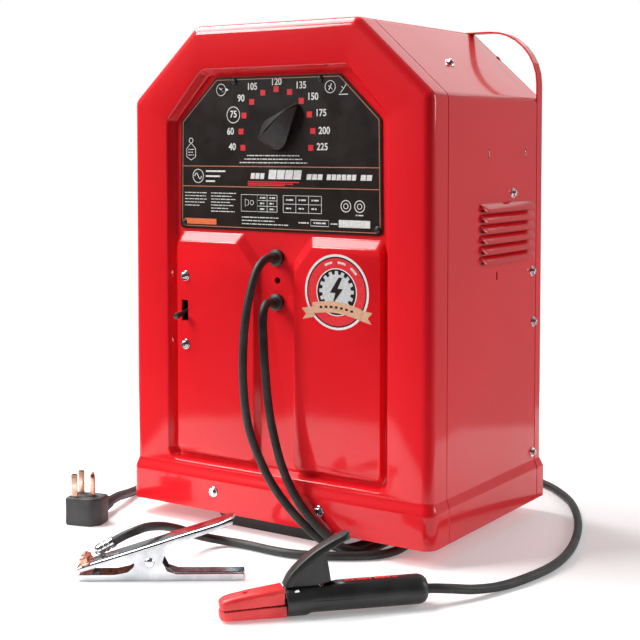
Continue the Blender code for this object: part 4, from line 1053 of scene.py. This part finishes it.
def print_current_sign(bm):
    """A plain alternating-current sign: a sine wave in a ring, and three even bars."""
    ink_path(bm, ring_points(-118, 429.5, 8.2), 0.9)
    wave = [(-123.5 + 11 * k / 16, 429.5 + 3.4 * math.sin(2 * math.pi * k / 16)) for k in range(17)]
    ink_path(bm, wave, 1.1, closed=False)
    for z, x1 in ((435.6, -76), (429.5, -84), (423.4, -92)):
        ink_bar(bm, -106, z - 1.0, x1, z + 1.0)


def print_orange(bm):
    ink_bar(bm, -139.5, 370.4, -90, 377.4)


def make_nameplate_print():
    for name, look, build in (("nameplate_border", "ink_gold", print_gold),
                              ("nameplate_print", "ink_white", print_white),
                              ("nameplate_marks", "ink_red", print_red),
                              ("nameplate_sign", "ink_white", print_current_sign),
                              ("nameplate_label", "ink_orange", print_orange)):
        ink_piece(name, look, build)
    dial_numbers()


# ------------------------------------------------------------------ knob and switch
def make_knob():
    """A pointer knob: a ridge from the broad round tail down to a sharp tip."""
    base = PLATE_Y - 0.8
    height = 25.6
    turned = Matrix.Rotation(2 * DIAL_STEP, 3, "Y")

    def outline(shrink, tip):
        points = []
        for k in range(15):
            angle = math.radians(180 + 180 * k / 14)
            points.append(((20 - shrink) * math.cos(angle), -3 + (14.5 - shrink) * math.sin(angle)))
        points += [(20 - shrink, 3), (12 - shrink * 0.8, 22), (2.2, tip - 1.5), (0, tip), (-2.2, tip - 1.5),
                   (-12 + shrink * 0.8, 22), (-20 + shrink, 3)]
        return points

    def placed(points, y):
        return [turned @ Vector((x, y, z)) + Vector((0, 0, DIAL_Z)) for x, z in points]

    bm = bmesh.new()
    rings = [loop(bm, placed(outline(inset, tip), base - high))
             for inset, tip, high in ((0.8, 46.4, 0.0), (0.0, 47.0, 0.8), (0.3, 47.0, 4.0), (1.2, 46.4, 5.0))]
    crest = []
    for k, (x, z) in enumerate(outline(1.2, 46.4)):
        along = max(-11.0, min(42.0, z))
        side = max(-1.0, min(1.0, x / 20))
        drop = 0.0 if along < 14 else (along - 14) * 0.30
        crest.append((side * (1.3 if along < 30 else 0.8), along * 0.92, height - drop))
    top = loop(bm, [turned @ Vector((x, base - high, z)) + Vector((0, 0, DIAL_Z)) for x, z, high in crest])
    rings.append(top)
    skin(bm, rings)
    fill(bm, [rings[0]])
    bm.faces.new(top)
    bmesh.ops.triangulate(bm, faces=[f for f in bm.faces if len(f.verts) > 4])
    bmesh.ops.remove_doubles(bm, verts=bm.verts, dist=0.02)
    outward(bm)
    knob = add("selector_pointer", bm, "knob", "selector", crease=26)
    cut(knob, lambda m: turn(m, [(0, base - 14), (4.3, base - 14), (4.3, base + 4), (0, base + 4)],
                             (0, 0, DIAL_Z), "Y", 20))
    soften = knob.modifiers.new("soften", "BEVEL")
    soften.width = 0.7 * MM
    soften.segments = 3
    soften.limit_method = "ANGLE"
    soften.angle_limit = math.radians(28)
    apply_modifiers(knob)
    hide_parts("selector_knob")


def make_switch():
    """A toggle bat, tipped down."""
    pivot = Vector((SWITCH[0], FRONT + 11, SWITCH[1]))
    tilt = Matrix.Translation(pivot) @ Matrix.Rotation(math.radians(14), 4, "X")
    bm = bmesh.new()
    turn(bm, [(0, 5), (3.3, 4.2), (3.3, 0), (2.6, -4), (2.5, -8), (2.9, -14), (3.7, -20), (4.1, -23),
              (3.7, -25), (2.3, -25.9), (0, -26.1)], (0, 0, 0), "Y", 28, tilt)
    outward(bm)
    lever = add("power_toggle_bat", bm, "black", "power_lever", crease=40)
    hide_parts("power_switch_lever")


# ------------------------------------------------------------------ badge
BADGE = (89.0, 299.0)


def badge_ring(bm, inner, outer, back, front, squash=1.0):
    rings = []
    for radius, y in ((inner, back), (outer, back), (outer, front), (inner, front)):
        rings.append([(BADGE[0] + radius * squash * math.cos(a), y, BADGE[1] + radius * math.sin(a))
                      for a in circle(56)])
    made = [loop(bm, ring) for ring in rings]
    for i in range(4):
        bridge(bm, made[i], made[(i + 1) % 4])


def tile(x, z, wide, tall):
    return [(x - wide, z - tall), (x + wide, z - tall), (x + wide, z + tall), (x - wide, z + tall)]


def badge_plate(bm, outline, back, front):
    loft(bm, [at_y([(BADGE[0] + x, BADGE[1] + z) for x, z in outline], back),
              at_y([(BADGE[0] + x, BADGE[1] + z) for x, z in outline], front)])


def make_badge():
    """A round sticker with plain bands, a gear, a spark and a blank ribbon."""
    face = FRONT + PAD_DEPTH

    def piece(name, look, build):
        bm = bmesh.new()
        build(bm)
        outward(bm)
        add(name, bm, look, "machine", crease=20)

    def rim(bm):
        badge_ring(bm, 40.8, 43.6, face + 0.05, face - 0.16)
        badge_ring(bm, 26.4, 27.6, face + 0.05, face - 0.20)
        for k in range(36):
            if k % 9 in (3, 4, 5, 6, 7) and k // 9 in (0, 1, 2):
                angle = math.radians(30 + 120 * (k % 36) / 35)
                x, z = 34.2 * math.cos(angle), 34.2 * math.sin(angle)
                badge_plate(bm, tile(x, z, 1.2, 1.2), face + 0.02, face - 0.22)

    def band(bm):
        badge_ring(bm, 27.0, 39.4, face + 0.05, face - 0.12)

    def dark(bm):
        badge_ring(bm, 39.2, 41.0, face + 0.05, face - 0.14)
        disc = [(26.8 * math.cos(a), 26.8 * math.sin(a)) for a in circle(48)]
        badge_plate(bm, disc, face + 0.05, face - 0.12)

    def gear(bm):
        teeth = []
        for k in range(16):
            for share, radius in ((-0.30, 19.5), (-0.22, 23.5), (0.22, 23.5), (0.30, 19.5)):
                angle = 2 * math.pi * (k + share) / 16
                teeth.append((radius * math.cos(angle), radius * math.sin(angle) + 1))
        badge_plate(bm, teeth, face, face - 0.30)

    def spark(bm):
        bolt = [(3, 17), (-9, -1), (-1.5, -1), (-5, -14), (9, 4), (1.5, 4), (8, 17)]
        badge_plate(bm, bolt, face, face - 0.45)

    def ribbon(bm):
        rows = []
        for k in range(13):
            x = -33 + 66 * k / 12
            sag = -22 + 4.5 * math.cos(math.pi * x / 66) - x * 0.06
            rows.append([(BADGE[0] + x, y, BADGE[1] + z) for y, z in
                         ((face - 0.1, sag - 6.5), (face - 0.6, sag - 6.5), (face - 0.6, sag + 6.5),
                          (face - 0.1, sag + 6.5))])
        loft(bm, rows)
        for side in (-1, 1):
            tail = [(side * x, z) for x, z in ((30, -30), (47, -34), (42, -27.5), (48, -21), (30, -18))]
            badge_plate(bm, tail if side > 0 else tail[::-1], face, face - 0.3)

    def ribbon_marks(bm):
        for k in range(7):
            x = -21 + 7 * k
            z = -22 + 4.5 * math.cos(math.pi * x / 66) - x * 0.06
            badge_plate(bm, tile(x, z, 1.8, 1.3), face - 0.5, face - 0.75)

    for name, look, build in (("badge_rim", "ink_white", rim), ("badge_band", "ink_red", band),
                              ("badge_dark", "plate", dark), ("badge_gear", "ink_silver", gear),
                              ("badge_spark", "plate", spark), ("badge_ribbon", "ink_tan", ribbon),
                              ("badge_ribbon_marks", "plate", ribbon_marks)):
        piece(name, look, build)


make_front_panel()
make_wrap()
make_screws()
make_nameplate_print()
make_knob()
make_switch()
make_badge()


# ------------------------------------------------------- work clamp, along its own X from the jaw tip
UPPER_SLOPE = 0.3146


def channel_ring(x, spine, edge, half, wall, up, soft=2.6):
    """One cross-section of a stamped channel; up is +1 for a spine above its edges, -1 below."""
    def path(width, level, radius):
        points = [(-width, edge)]
        for side, turn_from in ((-1, 180), (1, 90)):
            for k in range(5):
                angle = math.radians(turn_from - 22.5 * k)
                points.append((side * (width - radius) + radius * math.cos(angle),
                               level - up * radius + up * radius * math.sin(angle)))
        return points + [(width, edge)]

    outer = path(half, spine, soft)
    inner = path(half - wall, spine - up * wall, soft - wall * 0.6)
    return [(x, y, z) for y, z in outer] + [(x, y, z) for y, z in reversed(inner)]


def channel(name, stations, up, wall, crease=34):
    bm = bmesh.new()
    rings = [channel_ring(x, spine, edge, half, wall, up) for x, spine, edge, half in stations]
    made = loft(bm, rings, caps=False)
    for ring in (made[0], made[-1]):
        half = len(ring) // 2
        for i in range(half - 1):
            bm.faces.new((ring[i], ring[i + 1], ring[-i - 2], ring[-i - 1]))
    outward(bm)
    return add(name, bm, "clamp", "machine" if up < 0 else "clamp_jaw", CLAMP, crease)


def clamp_spine(x):
    return 15 + (x + 1) * UPPER_SLOPE


def make_clamp_bolt(name, x, y, node):
    matrix = Matrix.Translation((x, y, clamp_spine(x) + 0.4)) @ Matrix.Rotation(-0.305, 4, "Y")
    bm = bmesh.new()
    turn(bm, [(0, 0), (6.9, 0), (7.0, 0.3), (7.0, 1.1), (6.6, 1.4), (0, 1.4)], sides=30, frame_matrix=matrix)
    loft(bm, [hex_ring(r, h, matrix, 12) for r, h in ((5.6, 1.3), (5.6, 6.2), (4.9, 6.9))])
    turn(bm, [(0, 6.7), (3.1, 6.7), (3.1, 8.2), (2.7, 8.6), (0, 8.6)], sides=20, frame_matrix=matrix)
    outward(bm)
    bolt = add(name, bm, "copper", "clamp_jaw", CLAMP, 28)
    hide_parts(node)
    return bolt


def make_clamp():
    lower = channel("clamp_lower_channel", [
        (0, 0.9, 6.9, 11.6), (3, 0, 7.1, 12.6), (12, 0, 7.1, 13), (40, 0, 7.1, 13), (54, 0, 10, 13),
        (60, 0, 15, 13), (62.5, 0, 22, 13), (65, 0, 29.5, 13), (70, 0, 32.6, 13), (77, 0, 33.2, 13),
        (84, 0, 32.6, 13), (88.5, 0, 29.5, 13), (91, 0, 20, 13), (96, 0, 11, 13), (106, 0, 7.5, 13),
        (150, 0, 7.5, 13), (176.5, 0, 7.5, 13), (178, 0.8, 7.2, 12.4)], -1, 1.5)
    upper = channel("clamp_upper_channel", [
        (-1, clamp_spine(-1) - 0.8, 9.2, 11.5), (2, clamp_spine(2), 9.8, 12.4), (12, clamp_spine(12), 13, 13),
        (36, clamp_spine(36), 21, 14.6), (50, clamp_spine(50), 26, 15.1), (58, clamp_spine(58), 23.6, 15.1),
        (63, clamp_spine(63), 17, 15.1), (66, clamp_spine(66), 12.4, 15.1), (72, clamp_spine(72), 10.6, 15.1),
        (84, clamp_spine(84), 10.6, 15.1), (89, clamp_spine(89), 13, 15.1), (92, clamp_spine(92), 24, 15.1),
        (96, clamp_spine(96) + 0.2, 36, 15.1), (102, clamp_spine(102) + 0.3, 40.2, 15.1),
        (120, clamp_spine(120) + 0.2, 46, 15.1),
        (150, clamp_spine(150), 56, 15.1), (165.5, 68.4, 61, 15.1), (167, 68.4, 61.8, 14.4)], 1, 1.4)
    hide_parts("clamp_lower_arm")
    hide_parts("clamp_upper_arm")
    px, pz = 77.6, 21.0
    bm = bmesh.new()
    turn(bm, [(0, -17.6), (2.6, -17.3), (4.6, -16.6), (5.4, -15.5), (3.4, -15.4), (3.4, 15.4), (5.4, 15.5),
              (4.6, 16.6), (2.6, 17.3), (0, 17.6)], (px, 0, pz), "Y", 28)
    outward(bm)
    rivet = add("clamp_rivet_domed", bm, "zinc", "machine", CLAMP)
    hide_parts("clamp_pivot_rivet")
    bm = bmesh.new()
    coil = [(px + 5.4 * math.cos(a), -8.6 + 17.2 * a / (14 * math.pi), pz + 5.4 * math.sin(a))
            for a in (2 * math.pi * k / 14 for k in range(7 * 14 + 1))]
    leg_in = [(px + 26, -8.6, pz - 13), (px + 14, -8.6, pz - 6)]
    leg_out = [(px + 14, 8.6, pz + 6), (px + 22, 8.6, pz + 14)]
    tube_mesh(bm, leg_in + coil + leg_out, 1.0, 8)
    outward(bm)
    spring = add("clamp_torsion_spring", bm, "zinc", "machine", CLAMP)
    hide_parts("clamp_spring")
    bm = bmesh.new()
    line = [Vector((x, 0, z)) for x, z in ((21, 3.4), (36, 3.6), (50, 4.8), (58, 8), (63, 13.4), (66, 19.4))]
    route = smooth_route(line, 1.1)
    for strand in range(9):
        points = []
        for k, p in enumerate(route):
            sway = 0.8 * math.sin(k * 0.9 + strand * math.pi)
            y = -6.4 + 1.6 * strand + 0.7 * math.sin(k * 0.45 + strand * 2.1)
            points.append((p.x, y, p.z + 0.5 * sway))
        tube_mesh(bm, points, 0.95, 6)
    outward(bm)
    braid = add("clamp_woven_braid", bm, "braid", "machine", CLAMP)
    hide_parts("clamp_braid")
    near = make_clamp_bolt("clamp_hex_bolt_near", 8.0, -7.5, "clamp_bolt_near")
    far = make_clamp_bolt("clamp_hex_bolt_far", 8.0, 7.5, "clamp_bolt_far")
    start, end = Vector((16.5, 7.5, 26.5)), Vector((37.0, 7.5, 38.0))
    length = (end - start).length
    aim = (end - start).normalized().to_track_quat("Z", "Y").to_matrix().to_4x4()
    matrix = Matrix.Translation(start) @ aim
    bm = bmesh.new()
    turn(bm, [(0, 0), (3.2, 0), (4.4, 1.0), (6.0, 3.6), (6.3, 5), (6.3, 8.4), (5.7, 9.2), (5.6, 11.4),
              (6.3, 12.4), (6.3, 14.6), (5.7, 15.4), (5.6, 17.6), (6.3, 18.6), (6.3, length - 0.4),
              (6.0, length), (5.3, length), (5.3, length - 2), (0, length - 2)],
             sides=30, frame_matrix=matrix)
    outward(bm)
    lug = add("work_lug_crimped", bm, "zinc", "clamp_jaw", CLAMP)
    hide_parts("work_lug")
    bm = bmesh.new()
    for k in range(7):
        x = 1.2 + 2.0 * k
        prism = [(x, 7.0), (x + 1.7, 7.0), (x + 0.85, 8.2 + 0.1 * k)]
        loft(bm, [[(px_, -10.5, z) for px_, z in prism], [(px_, 10.5, z) for px_, z in prism]])
    outward(bm)
    teeth = add("clamp_jaw_teeth", bm, "copper", "machine", CLAMP, 20)
    return [lower, upper, rivet, spring, braid, near, far, lug, teeth]


# ------------------------------------------------------------------ electrode holder, along its own X
AXIS_Z = 17.0


def jaw(name, rings, radius, body):
    bm = bmesh.new()
    loft(bm, [[(x, y, z) for y, z in fillet([(-half, low), (half, low), (half, high), (-half, high)],
                                            [min(r, (high - low) / 2.1) for r in radius], 5)]
              for x, half, low, high in rings])
    outward(bm)
    return add(name, bm, "holder_red", body, HOLDER, 50)


def smooth_line(points, count):
    """count points along a smooth line in the X-Z plane."""
    route = smooth_route([(x, 0, z) for x, z in points], 0.5)
    return [route[round(k * (len(route) - 1) / (count - 1))] for k in range(count)]


def make_lever():
    arch = smooth_line([(64, 31.8), (70, 43), (82, 55), (98, 66.5), (115, 75.5), (130.5, 82)], 26)
    under = smooth_line([(73, 32.4), (78, 39), (87, 49.5), (101, 60), (117, 69), (132, 76.5)], 26)
    bm = bmesh.new()
    rings = []
    for k, (top, low) in enumerate(zip(arch, under)):
        up = (top - low)
        tall = up.length
        end = 1.0 if k < 24 else (0.86 if k == 24 else 0.6)
        section_points = fillet([(-9.5 * end, 0), (9.5 * end, 0), (7.6 * end, tall), (-7.6 * end, tall)],
                                [1.4, 1.4, 2.2, 2.2], 3)
        rings.append([tuple(low + up.normalized() * v + Vector((0, u, 0))) for u, v in section_points])
    loft(bm, rings)
    outward(bm)
    lever = add("holder_squeeze_lever", bm, "black", "holder_jaw", HOLDER, 40)
    outline = [(66, 23), (74, 22), (84, 27), (112, 33.5), (110, 46), (107, 62), (86, 51), (74, 36), (66, 33)]
    bm = bmesh.new()
    rounded = fillet(outline, 1.2, 2)
    loft(bm, [at_y(rounded, -5.0), at_y(rounded, 5.0)])
    outward(bm)
    web = add("holder_lever_web", bm, "black", "holder_jaw", HOLDER, 30)
    bm = bmesh.new()
    for k in range(7):
        top = arch[24 - k]
        ahead = (arch[25 - k] - arch[24 - k]).normalized()
        normal = Vector((-ahead.z, 0, ahead.x))
        a, b = top - ahead * 0.45, top + ahead * 0.45
        corners = ((a, -0.6), (b, -0.6), (b, 0.55), (a, 0.55))
        loft(bm, [[tuple(p + Vector((0, y, 0)) + normal * h) for p, h in corners] for y in (-6.2, 6.2)])
    outward(bm)
    ribs = add("holder_lever_ribs", bm, "black", "holder_jaw", HOLDER, 30)
    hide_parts("holder_lever")
    return [lever, web, ribs]


def make_holder_spring():
    """The wound spring under the lever's web, built as one fixed coil."""
    turns, low, high = 6, 16.2, 28.4
    bm = bmesh.new()
    coil = [(100 + 4.2 * math.cos(a), 4.2 * math.sin(a), low + (high - low) * a / (2 * math.pi * turns))
            for a in (2 * math.pi * k / 20 for k in range(20 * turns + 1))]
    tube_mesh(bm, coil, 0.7, 8)
    outward(bm)
    spring = add("holder_spring_coil", bm, "zinc", "machine", HOLDER, 60)
    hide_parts("holder_spring")
    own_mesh(spring)
    return spring


def make_holder():
    bm = bmesh.new()
    rings = []
    for x, radius, lift in ((66.0, 14.4, -1.3), (66.5, 15.2, -1.3), (67.4, 15.6, -1.3), (85.0, 15.6, -1.3),
                            (88.0, 15.4, -1.0), (91.0, 14.7, -0.3), (94, 14.6, 0), (130, 14.8, 0),
                            (170, 15.0, 0), (203, 15.0, 0), (206.5, 14.5, 0), (209.5, 13.1, 0),
                            (211.8, 10.8, 0),
                            (213.0, 7.6, 0)):
        rings.append([(x, radius * math.cos(a), AXIS_Z + lift + radius * math.sin(a))
                      for a in circle(44)])
    loft(bm, rings)
    outward(bm)
    handle = add("holder_grip", bm, "black", "machine", HOLDER, 40)

    cut(handle, lambda m: box(m, (62, -6.5, 15), (115, 6.5, 50)), HOLDER)
    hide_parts("holder_handle")
    bm = bmesh.new()
    for side in (-1, 1):
        soft_box(bm, (92, side * 14.75 - 0.35, AXIS_Z - 0.5), (208, side * 14.75 + 0.35, AXIS_Z + 0.5), 0.3)
        soft_box(bm, (118, side * 7.0 - 0.4, 29.4), (206, side * 7.0 + 0.4, 30.6), 0.3)
    outward(bm)
    seam = add("holder_mould_lines", bm, "black", "machine", HOLDER, 30)
    bm = bmesh.new()
    for k in range(9):
        x = 127 + 6.2 * k
        wide = (4.9, 3.4, 5.2)[k % 3]
        soft_box(bm, (x, -3.0, 30.6), (x + wide, 3.0, 32.3), 0.35)
    outward(bm)
    inlay = add("holder_inlay", bm, "holder_red", "machine", HOLDER, 30)
    lower = jaw("holder_jaw_lower", [(0, 5.6, 4.4, 9.8), (0.9, 7.6, 3.0, 11.2), (2.6, 9.4, 2.2, 11.9),
                                     (5.5, 10.6, 2.0, 12.1), (12, 11.0, 2.0, 12.4), (65.2, 12.5, 2.0, 14.4),
                                     (65.8, 12.0, 2.6, 13.9)], (3.4, 3.4, 1.0, 1.0), "machine")
    upper = jaw("holder_jaw_upper", [(0, 5.6, 14.9, 19.6), (0.9, 7.6, 13.6, 21.0), (2.6, 9.4, 13.1, 21.9),
                                     (5.5, 10.6, 13.1, 23.0), (12, 11.0, 13.5, 24.6), (30, 11.5, 14.1, 27.4),
                                     (62.8, 12.5, 15.7, 31.2), (63.6, 12.0, 16.3, 30.6)],
                (1.0, 1.0, 4.2, 4.2), "holder_jaw")
    dimple = [(0, 23.5), (1.6, 23.9), (2.7, 25.6), (3.2, 30), (0, 30)]
    cut(upper, lambda m: turn(m, dimple, (26, 0, 0), "Z", 24), HOLDER)
    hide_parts("holder_lower_jaw")
    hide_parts("holder_upper_jaw")
    strips = []
    for name, body, high in (("holder_teeth_lower", "machine", 0), ("holder_teeth_upper", "holder_jaw", 1)):
        bm = bmesh.new()
        for k in range(20):
            x = 4 + 2.85 * k
            level = 12.0 + 2.5 * x / 63
            z0, z1 = (level - 0.6, level + 0.5) if high == 0 else (level + 1.35, level + 0.65)
            tooth = [(x, z0), (x + 2.5, z0), (x + 1.7, z1), (x + 0.8, z1)]
            half = 10.2 + 1.6 * x / 63
            loft(bm, [[(tx, -half, z) for tx, z in tooth], [(tx, half, z) for tx, z in tooth]])
        outward(bm)
        strips.append(add(name, bm, "tooth", body, HOLDER, 20))
    levers = make_lever()
    spring = make_holder_spring()
    return [handle, seam, inlay, lower, upper, *strips, *levers, spring, NODES["holder_pivot_pin"]]


# ------------------------------------------------------------------ mains plug
def make_plug():
    bm = bmesh.new()
    outline = [(-22, -17), (13, -17), (23, -7), (23, 17), (-22, 17)]
    corner = [3.5, 8, 8, 6, 3.5]
    stack = []
    for k in range(5):
        angle = math.radians(22.5 * k)
        stack.append((1.9 * (1 - math.sin(angle)), 2.6 * (1 - math.cos(angle))))
    levels = stack + [(0.25, 17)] + [(inset, 34 - low) for inset, low in reversed(stack)]
    rings = []
    for inset, z in levels:
        points = fillet(outline, corner, 6)
        centre = Vector((0.5, 0))
        rings.append([((Vector(p) - centre) * (1 - inset / 20) + centre).to_tuple() + (z,) for p in points])
    loft(bm, rings)
    outward(bm)
    body = add("plug_moulding", bm, "plug", "machine", PLUG, 44)

    for y in (-9.5, 9.5):
        cut(body, lambda m: box(m, (-16.5, y - 1.5, 26), (-7.5, y + 1.5, 40)), PLUG)
    cut(body, lambda m: turn(m, [(0, 26), (3.7, 26), (3.7, 40), (0, 40)], (8, 0, 0), "Z", 24), PLUG)
    bm = bmesh.new()
    profile = [(0, 12), (11.0, 12), (11.6, 17), (11.2, 24), (10.2, 27)]
    for k in range(5):
        y = 29 + 4.6 * k
        radius = 9.9 - 0.36 * k
        profile += [(radius, y), (radius, y + 2.6), (radius - 1.0, y + 3.0), (radius - 1.0, y + 4.2)]
    profile += [(8.0, 52.6), (7.4, 54.0), (0, 54.0)]
    turn(bm, profile, (4, 0, 13), "Y", 32)
    outward(bm)
    neck = add("plug_neck", bm, "plug", "machine", PLUG, 36)
    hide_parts("plug_body")
    blades = []
    for name, y, node in (("plug_blade_line", -9.5, "plug_blade_near"),
                          ("plug_blade_return", 9.5, "plug_blade_far")):
        bm = bmesh.new()
        rings = []
        for z, shrink in ((24.3, 0), (61.0, 0), (62.4, 0.35), (63.0, 0.7)):
            rings.append([(x, yy, z) for x, yy in fillet([(-16 + shrink, y - 1.0 + shrink * 0.6),
                                                         (-8 - shrink, y - 1.0 + shrink * 0.6),
                                                         (-8 - shrink, y + 1.0 - shrink * 0.6),
                                                         (-16 + shrink, y + 1.0 - shrink * 0.6)], 0.3, 3)])
        loft(bm, rings)
        outward(bm)
        blade = add(name, bm, "brass", "machine", PLUG, 30)
        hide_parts(node)
        blades.append(blade)
    bm = bmesh.new()
    pin_profile = [(0, 24.3), (3.2, 24.3), (3.2, 56), (3.0, 59), (2.3, 62), (1.2, 64.3), (0, 65)]
    turn(bm, pin_profile, (8, 0, 0), "Z", 28)
    outward(bm)
    pin = add("plug_earth_pin", bm, "brass", "machine", PLUG, 40)
    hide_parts("plug_ground_pin")
    return [body, neck, *blades, pin]


make_holder()
make_clamp()
make_plug()


bpy.context.view_layer.update()
